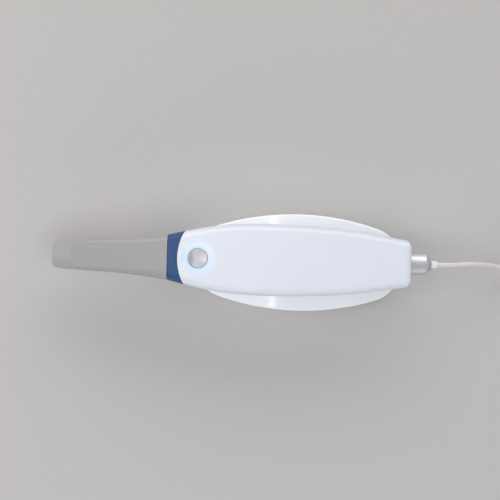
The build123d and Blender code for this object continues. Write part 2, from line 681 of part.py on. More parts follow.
with BuildPart() as processor:
    with BuildSketch(Plane.XY.offset(board_top)):
        with Locations((PROCESSOR_X, AXIS_Y)):
            Rectangle(PROCESSOR_SIZE, PROCESSOR_SIZE)
    extrude(amount=PROCESSOR_THICKNESS)
    chamfer(processor.faces().sort_by(Axis.Z)[-1].edges(), length=PROCESSOR_THICKNESS / 4)
processor.part.label = "processor"
export_step(processor.part, "parts/processor.step")

with BuildPart() as board_screws:
    add(screws(board_places, Plane.XY.offset(board_top), -1))
board_screws.part.label = "board_screws"
export_step(board_screws.part, "parts/board_screws.step")

connector_height = 2 * (AXIS_Z - board_top)
with BuildPart() as board_connector:
    with BuildSketch(Plane.XY.offset(board_top)):
        with Locations((BOARD_REAR_X, AXIS_Y)):
            Rectangle(CONNECTOR_LENGTH, CONNECTOR_WIDTH, align=(Align.MAX, Align.CENTER))
    extrude(amount=connector_height)
    fillet(board_connector.edges().filter_by(Axis.Z), radius=CONNECTOR_LENGTH / 12)
board_connector.part.label = "board_connector"
export_step(board_connector.part, "parts/board_connector.step")

# Button board under the ring, hung from the posts of the upper shell
with BuildPart() as button_board:
    with BuildSketch(button_level(button_board_bottom)):
        Circle(BUTTON_BOARD_RADIUS)
        RectangleRounded(BUTTON_EAR_WIDTH, 2 * BUTTON_EAR_REACH, BOARD_CORNER)
    extrude(amount=BUTTON_BOARD_THICKNESS)
    add(button_discs(button_places, screw_hole_radius, button_board_bottom, BUTTON_BOARD_TOP_Z),
        mode=Mode.SUBTRACT)
button_board.part.label = "button_board"
export_step(button_board.part, "parts/button_board.step")

with BuildPart() as button_board_screws:
    add(screws(button_places, button_level(button_board_bottom), 1))
button_board_screws.part.label = "button_board_screws"
export_step(button_board_screws.part, "parts/button_board_screws.step")

stem_end = BUTTON_UNDERSIDE_Z - BUTTON_STEM_LENGTH
switch_body_top = BUTTON_BOARD_TOP_Z + SWITCH_BODY_HEIGHT
with BuildPart() as press_switch:
    with BuildSketch(button_level(BUTTON_BOARD_TOP_Z)) as switch_outline:
        Rectangle(SWITCH_SIZE, SWITCH_SIZE)
        chamfer(switch_outline.vertices(), length=SWITCH_SIZE / 10)
    extrude(amount=SWITCH_BODY_HEIGHT)
    add(button_discs(button_centre, SWITCH_PLUNGER_RADIUS, switch_body_top,
                     stem_end - BUTTON_TRAVEL - FIT_GAP))
press_switch.part.label = "press_switch"
export_step(press_switch.part, "parts/press_switch.step")

with BuildPart() as ring_leds:
    with BuildSketch(button_level(BUTTON_BOARD_TOP_Z)):
        with PolarLocations(LED_CIRCLE_RADIUS, LED_COUNT, start_angle=LED_START_ANGLE):
            Rectangle(LED_WIDTH, LED_LENGTH)
    extrude(amount=LED_HEIGHT)
ring_leds.part.label = "ring_leds"
export_step(ring_leds.part, "parts/ring_leds.step")

# Light ring: translucent ring in the pocket, with a light-guide skirt and a flange
ring_inner_radius = BUTTON_RADIUS + BUTTON_GAP
step_z = BUTTON_UNDERSIDE_Z + BUTTON_FLANGE_HEIGHT + BUTTON_STOP_GAP
button_base = button_level(0)
with BuildPart() as light_ring:
    with BuildSketch(Plane(origin=button_base.origin, x_dir=button_base.x_dir,
                           z_dir=-button_base.y_dir)):
        with BuildLine():
            Polyline((ring_inner_radius, RING_INNER_Z), (RING_RADIUS, RING_OUTER_Z),
                     (RING_RADIUS, RING_FLANGE_Z + RING_FLANGE_HEIGHT),
                     (RING_FLANGE_RADIUS, RING_FLANGE_Z + RING_FLANGE_HEIGHT),
                     (RING_FLANGE_RADIUS, RING_FLANGE_Z), (RING_RADIUS, RING_FLANGE_Z),
                     (RING_RADIUS, RING_BOTTOM_Z), (RING_SKIRT_RADIUS, RING_BOTTOM_Z),
                     (RING_SKIRT_RADIUS, step_z), (ring_inner_radius, step_z), close=True)
        make_face()
    revolve(axis=Axis(button_base.origin, button_base.z_dir))
light_ring.part.label = "light_ring"
export_step(light_ring.part, "parts/light_ring.step")

# Button: dished cap, guided by the ring, held by its flange
with BuildPart() as scan_button:
    add(button_discs(button_centre, BUTTON_RADIUS, BUTTON_UNDERSIDE_Z, BUTTON_EDGE_Z))
    fillet(scan_button.faces().sort_by(Axis.Z)[-1].edges(), radius=BUTTON_EDGE_ROUND)
    with Locations(button_level(BUTTON_EDGE_Z - BUTTON_DISH_DEPTH + BUTTON_DISH_RADIUS)):
        Sphere(BUTTON_DISH_RADIUS, mode=Mode.SUBTRACT)
    add(button_discs(button_centre, BUTTON_FLANGE_RADIUS, BUTTON_UNDERSIDE_Z,
                     BUTTON_UNDERSIDE_Z + BUTTON_FLANGE_HEIGHT))
    add(button_discs(button_centre, BUTTON_STEM_RADIUS, stem_end, BUTTON_UNDERSIDE_Z))
scan_button.part.label = "scan_button"
export_step(scan_button.part, "parts/scan_button.step")

# Gland: turned barrel on the rear face, its shank clamped by a nut inside
with BuildPart() as cable_gland:
    with BuildSketch(along_x(BODY_REAR_X)):
        Circle(GLAND_RADIUS)
    extrude(amount=GLAND_LENGTH)
    chamfer(cable_gland.faces().sort_by(Axis.X)[-1].edges(), length=GLAND_CHAMFER)
    add(x_cylinder(GLAND_SHANK_RADIUS, BODY_REAR_X - GLAND_SHANK_LENGTH, BODY_REAR_X))
    add(x_cylinder(GLAND_BORE_RADIUS, BODY_REAR_X - GLAND_SHANK_LENGTH,
                   BODY_REAR_X + GLAND_LENGTH), mode=Mode.SUBTRACT)
cable_gland.part.label = "cable_gland"
export_step(cable_gland.part, "parts/cable_gland.step")

with BuildPart() as gland_nut:
    with BuildSketch(along_x(shell_inner_rear_x)):
        RegularPolygon(NUT_FLATS / 2, 6, major_radius=False)
        Circle(GLAND_SHANK_RADIUS + FIT_GAP, mode=Mode.SUBTRACT)
    extrude(amount=-NUT_THICKNESS)
gland_nut.part.label = "gland_nut"
export_step(gland_nut.part, "parts/gland_nut.step")

gland_end_x = BODY_REAR_X + GLAND_LENGTH
with BuildPart() as gland_ring:
    with BuildSketch(along_x(gland_end_x)):
        Circle(GLAND_RING_RADIUS)
        Circle(GLAND_BORE_RADIUS, mode=Mode.SUBTRACT)
    extrude(amount=GLAND_RING_LENGTH)
    fillet(gland_ring.faces().sort_by(Axis.X)[-1].edges().sort_by(SortBy.LENGTH)[-1],
           radius=GLAND_RING_LENGTH / 4)
gland_ring.part.label = "gland_ring"
export_step(gland_ring.part, "parts/gland_ring.step")

# Strain relief: sleeve moulded on the cable, tapered where it stands out of the gland
stub_start_x = gland_end_x + GLAND_RING_LENGTH
cable_start_x = stub_start_x + RELIEF_STUB
with BuildPart() as strain_relief:
    add(x_cylinder(RELIEF_RADIUS, shell_inner_rear_x, stub_start_x))
    with BuildSketch(along_x(stub_start_x)):
        Circle(RELIEF_RADIUS)
    with BuildSketch(along_x(cable_start_x - RELIEF_LIP)):
        Circle(RELIEF_END_RADIUS)
    loft()
    add(x_cylinder(RELIEF_RADIUS, cable_start_x - RELIEF_LIP, cable_start_x))
strain_relief.part.label = "strain_relief"
export_step(strain_relief.part, "parts/strain_relief.step")

with BuildPart() as inner_lead:
    add(x_cylinder(INNER_LEAD_RADIUS, BOARD_REAR_X, shell_inner_rear_x))
inner_lead.part.label = "inner_lead"
export_step(inner_lead.part, "parts/inner_lead.step")

# Cable: straight runs with tangent arcs from the strain relief down to the table and into the
# coil, and from the top of the coil to the plug
cable_radius = CABLE_DIAMETER / 2
coil_ring_width = COIL_ROWS * CABLE_DIAMETER
coil_height = COIL_LAYERS * CABLE_DIAMETER
coil_turn_radius = (COIL_MEAN_DIAMETER + coil_ring_width - CABLE_DIAMETER) / 2
coil_x, coil_y = COIL_CENTRE
coil_side_y = coil_y - coil_turn_radius
plug_z = PLUG_HEIGHT / 2

LEAD_ROUTE = [
    (cable_start_x, AXIS_Y, AXIS_Z),
    (92.5, AXIS_Y, AXIS_Z),
    (103.0, 2.4, 23.6),
    (114.5, 2.4, 16.6),
    (127.0, 0.9, 6.6),
    (139.0, -3.6, cable_radius),
    (149.5, -10.2, cable_radius),
    (160.0, -17.6, cable_radius),
    (coil_x, coil_side_y, cable_radius),
]
TAIL_ROUTE = [
    (coil_x, coil_side_y, coil_height - cable_radius),
    (181.0, -20.6, 8.0),
    (190.5, -17.0, 4.9),
    (PLUG_X, -9.0, plug_z),
    (PLUG_X, PLUG_START_Y, plug_z),
]


def corner_radii(route):
    """Largest arc that the two runs at each inner point of a route allow."""
    points = [Vector(*point) for point in route]
    radii = []
    for before, here, after in zip(points, points[1:], points[2:]):
        half_turn = math.radians((here - before).get_angle(after - here)) / 2
        shorter = min((here - before).length, (after - here).length)
        radii.append(ARC_SHARE * shorter / math.tan(half_turn))
    return radii


def cable_tube(route):
    """Cable along a route, with its length."""
    with BuildPart() as tube:
        with BuildLine():
            path = FilletPolyline(*route, radius=corner_radii(route))
        with BuildSketch(Plane(origin=path @ 0, z_dir=path % 0)):
            Circle(cable_radius)
        sweep(path=path)
    length = path.length
    section = math.pi * cable_radius**2
    radii = [round(radius, 1) for radius in corner_radii(route)]
    ratio = round(tube.part.volume / (section * length), 4)
    print("cable run", round(length, 1), "radii", radii, "volume ratio", ratio)
    return tube.part, length


cable_tube_part, lead_length = cable_tube(LEAD_ROUTE)
with BuildPart() as cable:
    add(cable_tube_part)
cable.part.label = "cable"
export_step(cable.part, "parts/cable.step")

tail_tube_part, tail_length = cable_tube(TAIL_ROUTE)
with BuildPart() as cable_tail:
    add(tail_tube_part)
cable_tail.part.label = "cable_tail"
export_step(cable_tail.part, "parts/cable_tail.step")
coil_turns = (CABLE_LENGTH - lead_length - tail_length) / (math.pi * COIL_MEAN_DIAMETER)
print("coil turns", round(coil_turns, 2), "of", COIL_LAYERS * COIL_ROWS)

# Outer shape of the put-away coil
with BuildPart() as cable_coil:
    with BuildSketch(Plane(origin=(coil_x, coil_y, 0), x_dir=(1, 0, 0), z_dir=(0, -1, 0))):
        with Locations((COIL_MEAN_DIAMETER / 2, coil_height / 2)):
            RectangleRounded(coil_ring_width, coil_height, COIL_CORNER)
    revolve(axis=Axis((coil_x, coil_y, 0), (0, 0, 1)))
cable_coil.part.label = "cable_coil"
export_step(cable_coil.part, "parts/cable_coil.step")

# Tie: flat band round one side of the coil
tie_x = coil_x + COIL_MEAN_DIAMETER / 2 * math.cos(math.radians(TIE_ANGLE))
tie_y = coil_y + COIL_MEAN_DIAMETER / 2 * math.sin(math.radians(TIE_ANGLE))
tie_plane = Plane(origin=(tie_x, tie_y, coil_height / 2),
                  x_dir=(math.cos(math.radians(TIE_ANGLE)), math.sin(math.radians(TIE_ANGLE)), 0),
                  z_dir=(-math.sin(math.radians(TIE_ANGLE)), math.cos(math.radians(TIE_ANGLE)), 0))
with BuildPart() as coil_tie:
    with BuildSketch(tie_plane):
        with Locations((0, TIE_THICKNESS / 2)):
            RectangleRounded(coil_ring_width + 2 * TIE_THICKNESS, coil_height + TIE_THICKNESS,
                             COIL_CORNER + TIE_THICKNESS)
        with Locations((0, TIE_THICKNESS / 2)):
            RectangleRounded(coil_ring_width, coil_height - TIE_THICKNESS, COIL_CORNER,
                             mode=Mode.SUBTRACT)
    extrude(amount=TIE_WIDTH / 2, both=True)
coil_tie.part.label = "coil_tie"
export_step(coil_tie.part, "parts/coil_tie.step")


def along_plug(distance):
    """Plane square to the plug, at a distance past the end of the cable."""
    return Plane(origin=(PLUG_X, PLUG_START_Y + distance, plug_z), x_dir=(1, 0, 0),
                 z_dir=(0, 1, 0))


plug_body_end = PLUG_RELIEF_LENGTH + PLUG_LENGTH

with BuildPart() as plug_relief:
    with BuildSketch(along_plug(0)):
        Circle(cable_radius + PLUG_RELIEF_WALL)
    with BuildSketch(along_plug(PLUG_RELIEF_LENGTH)):
        Circle(PLUG_RELIEF_RADIUS)
    loft()
plug_relief.part.label = "plug_relief"
export_step(plug_relief.part, "parts/plug_relief.step")

with BuildPart() as plug_body:
    with BuildSketch(along_plug(PLUG_RELIEF_LENGTH)):
        RectangleRounded(PLUG_WIDTH, PLUG_HEIGHT, PLUG_HEIGHT / 2 - FIT_GAP)
    extrude(amount=PLUG_LENGTH)
    chamfer(plug_body.faces().sort_by(Axis.Y)[0].edges(), length=PLUG_SHOULDER)
    fillet(plug_body.faces().sort_by(Axis.Y)[-1].edges(), radius=PLUG_SHOULDER / 2)
plug_body.part.label = "plug_body"
export_step(plug_body.part, "parts/plug_body.step")

with BuildPart() as plug_shell:
    with BuildSketch(along_plug(plug_body_end)):
        RectangleRounded(PLUG_SHELL_WIDTH, PLUG_SHELL_HEIGHT, PLUG_SHELL_HEIGHT / 2 - FIT_GAP)
        RectangleRounded(PLUG_SHELL_WIDTH - 2 * PLUG_SHELL_WALL,
                         PLUG_SHELL_HEIGHT - 2 * PLUG_SHELL_WALL,
                         PLUG_SHELL_HEIGHT / 2 - PLUG_SHELL_WALL - FIT_GAP, mode=Mode.SUBTRACT)
    extrude(amount=PLUG_SHELL_LENGTH)
plug_shell.part.label = "plug_shell"
export_step(plug_shell.part, "parts/plug_shell.step")

with BuildPart() as plug_tongue:
    with BuildSketch(along_plug(plug_body_end)):
        Rectangle(PLUG_TONGUE_WIDTH, PLUG_TONGUE_THICKNESS)
    extrude(amount=PLUG_SHELL_LENGTH - 2 * PLUG_SHELL_WALL)
plug_tongue.part.label = "plug_tongue"
export_step(plug_tongue.part, "parts/plug_tongue.step")


def leaf_solid(inset, low_z, high_z):
    """Leaf-shaped block with drafted sides, inset from the cradle's outline, between two heights."""
    side_y = math.sqrt(CRADLE_SIDE_RADIUS**2 - CRADLE_HALF_LENGTH**2)
    end_y = side_y - (CRADLE_SIDE_RADIUS - CRADLE_HALF_WIDTH)
    with BuildPart() as leaf:
        with BuildSketch(Plane(origin=(*CRADLE_CENTRE, CRADLE_CREST_Z))) as outline:
            with BuildLine():
                ThreePointArc((-CRADLE_HALF_LENGTH, end_y), (0, CRADLE_HALF_WIDTH),
                              (CRADLE_HALF_LENGTH, end_y))
                Line((CRADLE_HALF_LENGTH, end_y), (CRADLE_HALF_LENGTH, -end_y))
                ThreePointArc((CRADLE_HALF_LENGTH, -end_y), (0, -CRADLE_HALF_WIDTH),
                              (-CRADLE_HALF_LENGTH, -end_y))
                Line((-CRADLE_HALF_LENGTH, -end_y), (-CRADLE_HALF_LENGTH, end_y))
            make_face()
            fillet(outline.vertices(), radius=CRADLE_END_ROUND)
            if inset > 0:
                offset(amount=-inset)
        extrude(amount=-CRADLE_CREST_Z, taper=CRADLE_DRAFT)
        add(slab(low_z, high_z), mode=Mode.INTERSECT)
    return leaf.part


def barrel_top(drop):
    """Solid under the cradle's top surface, which is curved both along and across."""
    crest = CRADLE_CREST_Z - drop
    middle_x, middle_y = CRADLE_CENTRE
    with BuildPart() as barrel:
        with BuildSketch(Plane(origin=(middle_x, middle_y, 0), x_dir=(0, 1, 0),
                               z_dir=(1, 0, 0))):
            with BuildLine():
                reach = CRADLE_HALF_WIDTH + CRADLE_WALL
                edge_z = crest - CRADLE_CROWN_RADIUS + math.sqrt(CRADLE_CROWN_RADIUS**2 - reach**2)
                ThreePointArc((-reach, edge_z), (0, crest), (reach, edge_z))
                Polyline((reach, edge_z), (reach, -BIG / 10), (-reach, -BIG / 10),
                         (-reach, edge_z))
            make_face()
        revolve(axis=Axis((middle_x, middle_y, crest - CRADLE_SHEER_RADIUS), (0, 1, 0)))
    return barrel.part


channel = skin_solid(BODY_STATIONS, -CHANNEL_CLEARANCE, BODY_FRONT_X, BODY_REAR_X)
base_top_z = CRADLE_BOTTOM_Z + BASE_THICKNESS
base_screw_places = [(CRADLE_CENTRE[0] + side_x * BASE_SCREW[0],
                      CRADLE_CENTRE[1] + side_y * BASE_SCREW[1])
                     for side_x in (-1, 1) for side_y in (-1, 1)]

# Cradle before it is hollowed: leaf block under the curved top, with a rounded rim
with BuildPart() as cradle_block:
    add(leaf_solid(0, CRADLE_BOTTOM_Z, CRADLE_CREST_Z))
    add(barrel_top(0), mode=Mode.INTERSECT)
    rim = cradle_block.faces().sort_by(Axis.Z)[-1].edges()
    fillet(rim, radius=CRADLE_RIM_ROUND)

with BuildPart() as cradle_hollow:
    add(leaf_solid(CRADLE_WALL, CRADLE_BOTTOM_Z, CRADLE_CREST_Z))
    add(barrel_top(CRADLE_WALL), mode=Mode.INTERSECT)
    add(skin_solid(BODY_STATIONS, -CHANNEL_CLEARANCE - CRADLE_WALL, BODY_FRONT_X, BODY_REAR_X),
        mode=Mode.SUBTRACT)

with BuildPart() as base_bosses:
    add(discs(base_screw_places, BASE_BOSS_RADIUS, base_top_z, CRADLE_CREST_Z))
    add(cradle_hollow.part, mode=Mode.INTERSECT)

with BuildPart() as cradle_shell:
    add(cradle_block.part)
    add(cradle_hollow.part, mode=Mode.SUBTRACT)
    add(base_bosses.part)
    add(channel, mode=Mode.SUBTRACT)
    add(discs(base_screw_places, SCREW_RADIUS, 0,
              CRADLE_BOTTOM_Z + SCREW_HEAD_HEIGHT + SCREW_DEPTH + FIT_GAP), mode=Mode.SUBTRACT)
cradle_shell.part.label = "cradle_shell"
export_step(cradle_shell.part, "parts/cradle_shell.step")

# Weighted base plate, screwed up into the bosses
with BuildPart() as cradle_base:
    add(leaf_solid(CRADLE_WALL + BASE_CLEARANCE, CRADLE_BOTTOM_Z, base_top_z))
    add(discs(base_screw_places, screw_hole_radius, 0, base_top_z), mode=Mode.SUBTRACT)
    add(discs(base_screw_places, SCREW_HEAD_RADIUS + SCREW_HOLE_CLEARANCE, 0,
              CRADLE_BOTTOM_Z + SCREW_HEAD_HEIGHT), mode=Mode.SUBTRACT)
cradle_base.part.label = "cradle_base"
export_step(cradle_base.part, "parts/cradle_base.step")

with BuildPart() as cradle_screws:
    add(screws(base_screw_places, Plane.XY.offset(CRADLE_BOTTOM_Z + SCREW_HEAD_HEIGHT), 1))
cradle_screws.part.label = "cradle_screws"
export_step(cradle_screws.part, "parts/cradle_screws.step")

# Non-slip sheet under the base plate, over the screw heads
with BuildPart() as grip_sheet:
    add(leaf_solid(GRIP_INSET, 0, CRADLE_BOTTOM_Z))
grip_sheet.part.label = "grip_sheet"
export_step(grip_sheet.part, "parts/grip_sheet.step")

# Soft pads between the channel and the belly of the handle
with BuildPart() as cradle_pads:
    add(skin_solid(BODY_STATIONS, -PAD_THICKNESS, BODY_FRONT_X, BODY_REAR_X))
    add(skin_solid(BODY_STATIONS, -FIT_GAP, BODY_FRONT_X, BODY_REAR_X), mode=Mode.SUBTRACT)
    with Locations(*[(x, AXIS_Y, 0) for x in PAD_X]):
        Box(PAD_LENGTH, BIG, 2 * (AXIS_Z + PAD_TOP_Z), mode=Mode.INTERSECT)
cradle_pads.part.label = "cradle_pads"
export_step(cradle_pads.part, "parts/cradle_pads.step")
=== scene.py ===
"""Looks of an intraoral scanner that lies in its desk cradle.

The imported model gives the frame: metres, +Z up, the tip towards -X and the cable towards +X. Each
sub-assembly below is a class that dresses its own nodes and adds the pieces that it needs.
"""

import logging
import math
from dataclasses import dataclass, field
from enum import Enum
from typing import Any, List, Mapping, Optional, Sequence, Tuple, Union

import bpy
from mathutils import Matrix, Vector


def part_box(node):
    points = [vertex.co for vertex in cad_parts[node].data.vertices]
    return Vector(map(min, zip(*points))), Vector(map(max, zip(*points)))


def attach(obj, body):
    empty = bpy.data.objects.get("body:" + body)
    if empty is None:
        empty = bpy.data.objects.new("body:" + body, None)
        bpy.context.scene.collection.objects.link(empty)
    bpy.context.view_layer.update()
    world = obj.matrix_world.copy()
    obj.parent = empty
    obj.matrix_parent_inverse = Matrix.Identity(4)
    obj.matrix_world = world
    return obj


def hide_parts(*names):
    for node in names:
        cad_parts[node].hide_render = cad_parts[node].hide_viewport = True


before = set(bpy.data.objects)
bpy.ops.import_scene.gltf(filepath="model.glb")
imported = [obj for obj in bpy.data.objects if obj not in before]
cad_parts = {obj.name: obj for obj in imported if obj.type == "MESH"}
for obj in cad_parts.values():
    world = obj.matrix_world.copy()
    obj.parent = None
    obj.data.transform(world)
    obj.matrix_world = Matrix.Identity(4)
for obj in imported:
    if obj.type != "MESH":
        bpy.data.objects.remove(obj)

LOG = logging.getLogger("intraoral_scanner")

Colour = Tuple[float, float, float]
Point = Tuple[float, float, float]
Term = Union["Wire", float]
Stops = Tuple[Tuple[float, Colour], ...]

MM = 0.001
BLACK: Colour = (0.0, 0.0, 0.0)
WHITE: Colour = (1.0, 1.0, 1.0)
BUTTON_CENTRE = (-59.0 * MM, 1.4 * MM)
SHARP_DEGREES = 30.0


def linear(red: float, green: float, blue: float) -> Colour:
    """Turns display values to the linear colour that a shader takes, by the sRGB curve.

    Args:
        red: Red as displayed, 0 to 255.
        green: Green as displayed, 0 to 255.
        blue: Blue as displayed, 0 to 255.

    Returns:
        The linear colour.
    """
    shares = [value / 255 for value in (red, green, blue)]
    return tuple(s / 12.92 if s <= 0.04045 else ((s + 0.055) / 1.055) ** 2.4 for s in shares)


def shade(colour: Colour, factor: float) -> Colour:
    """Returns the colour, lighter or darker by a factor."""
    return tuple(min(1.0, part * factor) for part in colour)


def metres(points: Sequence[Point]) -> List[Point]:
    """Returns points that are given in millimetres in metres."""
    return [tuple(part * MM for part in point) for point in points]


class Wire:
    """An output socket of a shader node, with the maths that is used on it."""

    def __init__(self, desk: "NodeDesk", socket: bpy.types.NodeSocket) -> None:
        """Keeps the socket and the desk that adds nodes for it."""
        self.desk = desk
        self.socket = socket

    def _maths(self, operation: str, *terms: Term) -> "Wire":
        """Adds a Math node on one or two terms."""
        return self.desk.node("ShaderNodeMath", {"operation": operation}, dict(enumerate(terms)))

    def __add__(self, other: Term) -> "Wire":
        """Adds a term."""
        return self._maths("ADD", self, other)

    def __radd__(self, other: Term) -> "Wire":
        """Is added to a term."""
        return self._maths("ADD", other, self)

    def __sub__(self, other: Term) -> "Wire":
        """Takes a term away."""
        return self._maths("SUBTRACT", self, other)

    def __rsub__(self, other: Term) -> "Wire":
        """Is taken away from a term."""
        return self._maths("SUBTRACT", other, self)

    def __mul__(self, other: Term) -> "Wire":
        """Multiplies by a term."""
        return self._maths("MULTIPLY", self, other)

    def __rmul__(self, other: Term) -> "Wire":
        """Is multiplied by a term."""
        return self._maths("MULTIPLY", other, self)

    def __truediv__(self, other: Term) -> "Wire":
        """Divides by a term."""
        return self._maths("DIVIDE", self, other)

    def __rtruediv__(self, other: Term) -> "Wire":
        """Divides a term."""
        return self._maths("DIVIDE", other, self)

    def __gt__(self, other: Term) -> "Wire":
        """Gives 1 where it is greater than a term."""
        return self._maths("GREATER_THAN", self, other)

    def __lt__(self, other: Term) -> "Wire":
        """Gives 1 where it is less than a term, which is what number > wire asks for."""
        return self._maths("LESS_THAN", self, other)

    def root(self) -> "Wire":
        """Returns its square root."""
        return self._maths("SQRT", self)

    def wave(self) -> "Wire":
        """Returns its sine."""
        return self._maths("SINE", self)

    def larger(self, other: Term) -> "Wire":
        """Returns the larger of itself and a term."""
        return self._maths("MAXIMUM", self, other)

    def smooth(self, low: float, high: float) -> "Wire":
        """Returns a smooth rise from 0 at its low value to 1 at its high one."""
        rise = {0: self, 1: low, 2: high, 3: 0.0, 4: 1.0}
        return self.desk.node("ShaderNodeMapRange", {"interpolation_type": "SMOOTHSTEP"}, rise)


class NodeDesk:
    """A node tree, and the ways to add nodes to it."""

    def __init__(self, tree: bpy.types.NodeTree) -> None:
        """Keeps the tree."""
        self.tree = tree

    def node(
        self,
        kind: str,
        settings: Mapping[str, Any],
        inputs: Mapping[Union[int, str], Any],
        output: Union[int, str] = 0,
    ) -> Wire:
        """Adds a node, sets it, and then fills or links its sockets.

        Args:
            kind: The node's type.
            settings: Its properties. "stops" gives a colour ramp's positions and colours.
            inputs: Values or wires, by socket index or name.
            output: The output socket that is returned.

        Returns:
            That output as a wire.
        """
        made = self.tree.nodes.new(kind)
        for key, value in settings.items():
            if key == "stops":
                self._set_stops(made.color_ramp, value)
            else:
                setattr(made, key, value)
        for key, value in inputs.items():
            self.fill(made.inputs[key], value)
        return Wire(self, made.outputs[output])

    def fill(self, socket: bpy.types.NodeSocket, value: Any) -> None:
        """Links a wire to a socket, or sets the socket's own value.

        Args:
            socket: The input socket.
            value: A wire, a number, a colour or a vector.
        """
        if isinstance(value, Wire):
            self.tree.links.new(value.socket, socket)
        elif isinstance(value, (int, float)):
            socket.default_value = value
        else:
            plain = tuple(value)
            is_colour = socket.type == "RGBA" and len(plain) == 3
            socket.default_value = plain + (1.0,) if is_colour else plain

    @staticmethod
    def _set_stops(ramp: bpy.types.ColorRamp, stops: Stops) -> None:
        """Gives a colour ramp its stops.

        Args:
            ramp: The ramp.
            stops: Positions from 0 to 1, each with its colour.
        """
        while len(ramp.elements) < len(stops):
            ramp.elements.new(1.0)
        for element, (position, colour) in zip(ramp.elements, stops):
            element.position = position
            element.color = tuple(colour) + (1.0,)

    def split(self, vector: Wire) -> Tuple[Wire, Wire, Wire]:
        """Returns the x, y and z of a vector."""
        parts = self.node("ShaderNodeSeparateXYZ", {}, {0: vector}).socket.node
        return tuple(Wire(self, output) for output in parts.outputs)

    def seen_by(self, *rays: str) -> Wire:
        """Marks the light paths that are of one of the kinds named.

        Args:
            rays: Kinds of ray, such as "Camera".

        Returns:
            1 for those rays, and 0 for all others.
        """
        marks = [self.node("ShaderNodeLightPath", {}, {}, f"Is {ray} Ray") for ray in rays]
        seen = marks[0]
        for mark in marks[1:]:
            seen = seen.larger(mark)
        return seen


class ShaderDesk(NodeDesk):
    """One material's node tree, with its coordinates and its Principled shader."""

    def __init__(self, name: str) -> None:
        """Starts an empty material.

        Args:
            name: The material's name.
        """
        self.material = bpy.data.materials.new(name)
        self.material.use_nodes = True
        super().__init__(self.material.node_tree)
        self.tree.nodes.clear()
        self.shader = self.tree.nodes.new("ShaderNodeBsdfPrincipled")
        self.output = self.tree.nodes.new("ShaderNodeOutputMaterial")
        self.lit = Wire(self, self.shader.outputs[0])
        self.show(self.lit)
        self.place = self.node("ShaderNodeTexCoord", {}, {}, "Object")

    def show(self, surface: Wire) -> None:
        """Makes a shader the material's surface."""
        self.fill(self.output.inputs["Surface"], surface)

    def set(self, **values: Any) -> None:
        """Fills the Principled shader's sockets, named with _ for each space."""
        for key, value in values.items():
            self.fill(self.shader.inputs[key.replace("_", " ")], value)

    def axes(self) -> Tuple[Wire, Wire, Wire]:
        """Returns the x, y and z of the object coordinates."""
        return self.split(self.place)

    def stretched(self, scale: Point) -> Wire:
        """Returns the object coordinates, scaled on each axis."""
        return self.node("ShaderNodeMapping", {}, {"Vector": self.place, "Scale": scale})

    def noise(self, scale: float, detail: float = 2.0, place: Optional[Wire] = None) -> Wire:
        """Adds a noise texture of a scale in waves to the metre."""
        inputs = {"Vector": place or self.place, "Scale": scale, "Detail": detail}
        return self.node("ShaderNodeTexNoise", {}, inputs)

    def mix(self, factor: Term, first: Any, second: Any) -> Wire:
        """Blends two colours by a factor."""
        inputs = {0: factor, 6: first, 7: second}
        return self.node("ShaderNodeMix", {"data_type": "RGBA"}, inputs, 2)

    def tones(self, factor: Wire, colour: Colour, dark: float, light: float) -> Wire:
        """Blends a darker and a lighter tone of one colour by a factor."""
        return self.mix(factor, shade(colour, dark), shade(colour, light))

    def about(self, middle: float, change: Wire, spread: float) -> Wire:
        """Varies a number about its middle, by a change from 0 to 1."""
        return middle + (change - 0.5) * spread

    def bump(self, height: Wire, distance: float) -> Wire:
        """Adds a Bump node, whose distance is in metres, on a height."""
        return self.node("ShaderNodeBump", {}, {"Height": height, "Distance": distance}, "Normal")

    def from_point(self, centre: Tuple[float, float] = (0.0, 0.0)) -> Wire:
        """Measures the distance in the top view from a point.

        Args:
            centre: The point's x and y.

        Returns:
            The distance in metres.
        """
        x, y, _ = self.axes()
        across = x - centre[0]
        along = y - centre[1]
        return (across * across + along * along).root()


@dataclass(frozen=True)
class Finish:
    """A named finish. Each kind below sets the shader in its own way."""

    name: str

    def build(self) -> bpy.types.Material:
        """Makes the material.

        Returns:
            The finished material.
        """
        desk = ShaderDesk(self.name)
        self.dress(desk)
        return desk.material

    def dress(self, desk: ShaderDesk) -> None:
        """Sets the shader on a desk."""
        raise NotImplementedError


@dataclass(frozen=True)
class MouldedPlastic(Finish):
    """Moulded plastic: a fine spark-eroded grain, with a slight unevenness in tone and gloss."""

    colour: Colour
    roughness: float
    grain: float = 2600.0
    depth: float = 0.000012
    tone: float = 0.015
    tone_scale: float = 28.0
    gloss_scale: float = 220.0
    gloss_change: float = 0.08
    coat: float = 0.0
    coat_roughness: float = 0.1
    metallic: float = 0.0

    def dress(self, desk: ShaderDesk) -> None:
        """Sets colour, gloss and grain.

        Args:
            desk: The material's desk.
        """
        cloud = desk.noise(self.tone_scale)
        gloss = desk.noise(self.gloss_scale, detail=3.0)
        desk.set(
            Base_Color=desk.tones(cloud, self.colour, 1 - self.tone, 1 + self.tone),
            Roughness=desk.about(self.roughness, gloss, self.gloss_change),
            Metallic=self.metallic,
            Coat_Weight=self.coat,
            Coat_Roughness=self.coat_roughness,
            Normal=desk.bump(desk.noise(self.grain, detail=3.0), self.depth),
        )


@dataclass(frozen=True)
class GlowingShell(MouldedPlastic):
    """White shell plastic that takes up some light from the ring sunk into it."""

    edge: float = 9.6 * MM
    reach: float = 2.2 * MM
    glow: Colour = (0.022, 0.038, 0.064)

    def dress(self, desk: ShaderDesk) -> None:
        """Adds the ring's spill to the plain shell.

        Args:
            desk: The material's desk.
        """
        super().dress(desk)
        spill = 1 - desk.from_point(BUTTON_CENTRE).smooth(self.edge, self.edge + self.reach)
        desk.set(Emission_Color=desk.mix(spill, BLACK, self.glow), Emission_Strength=1.0)


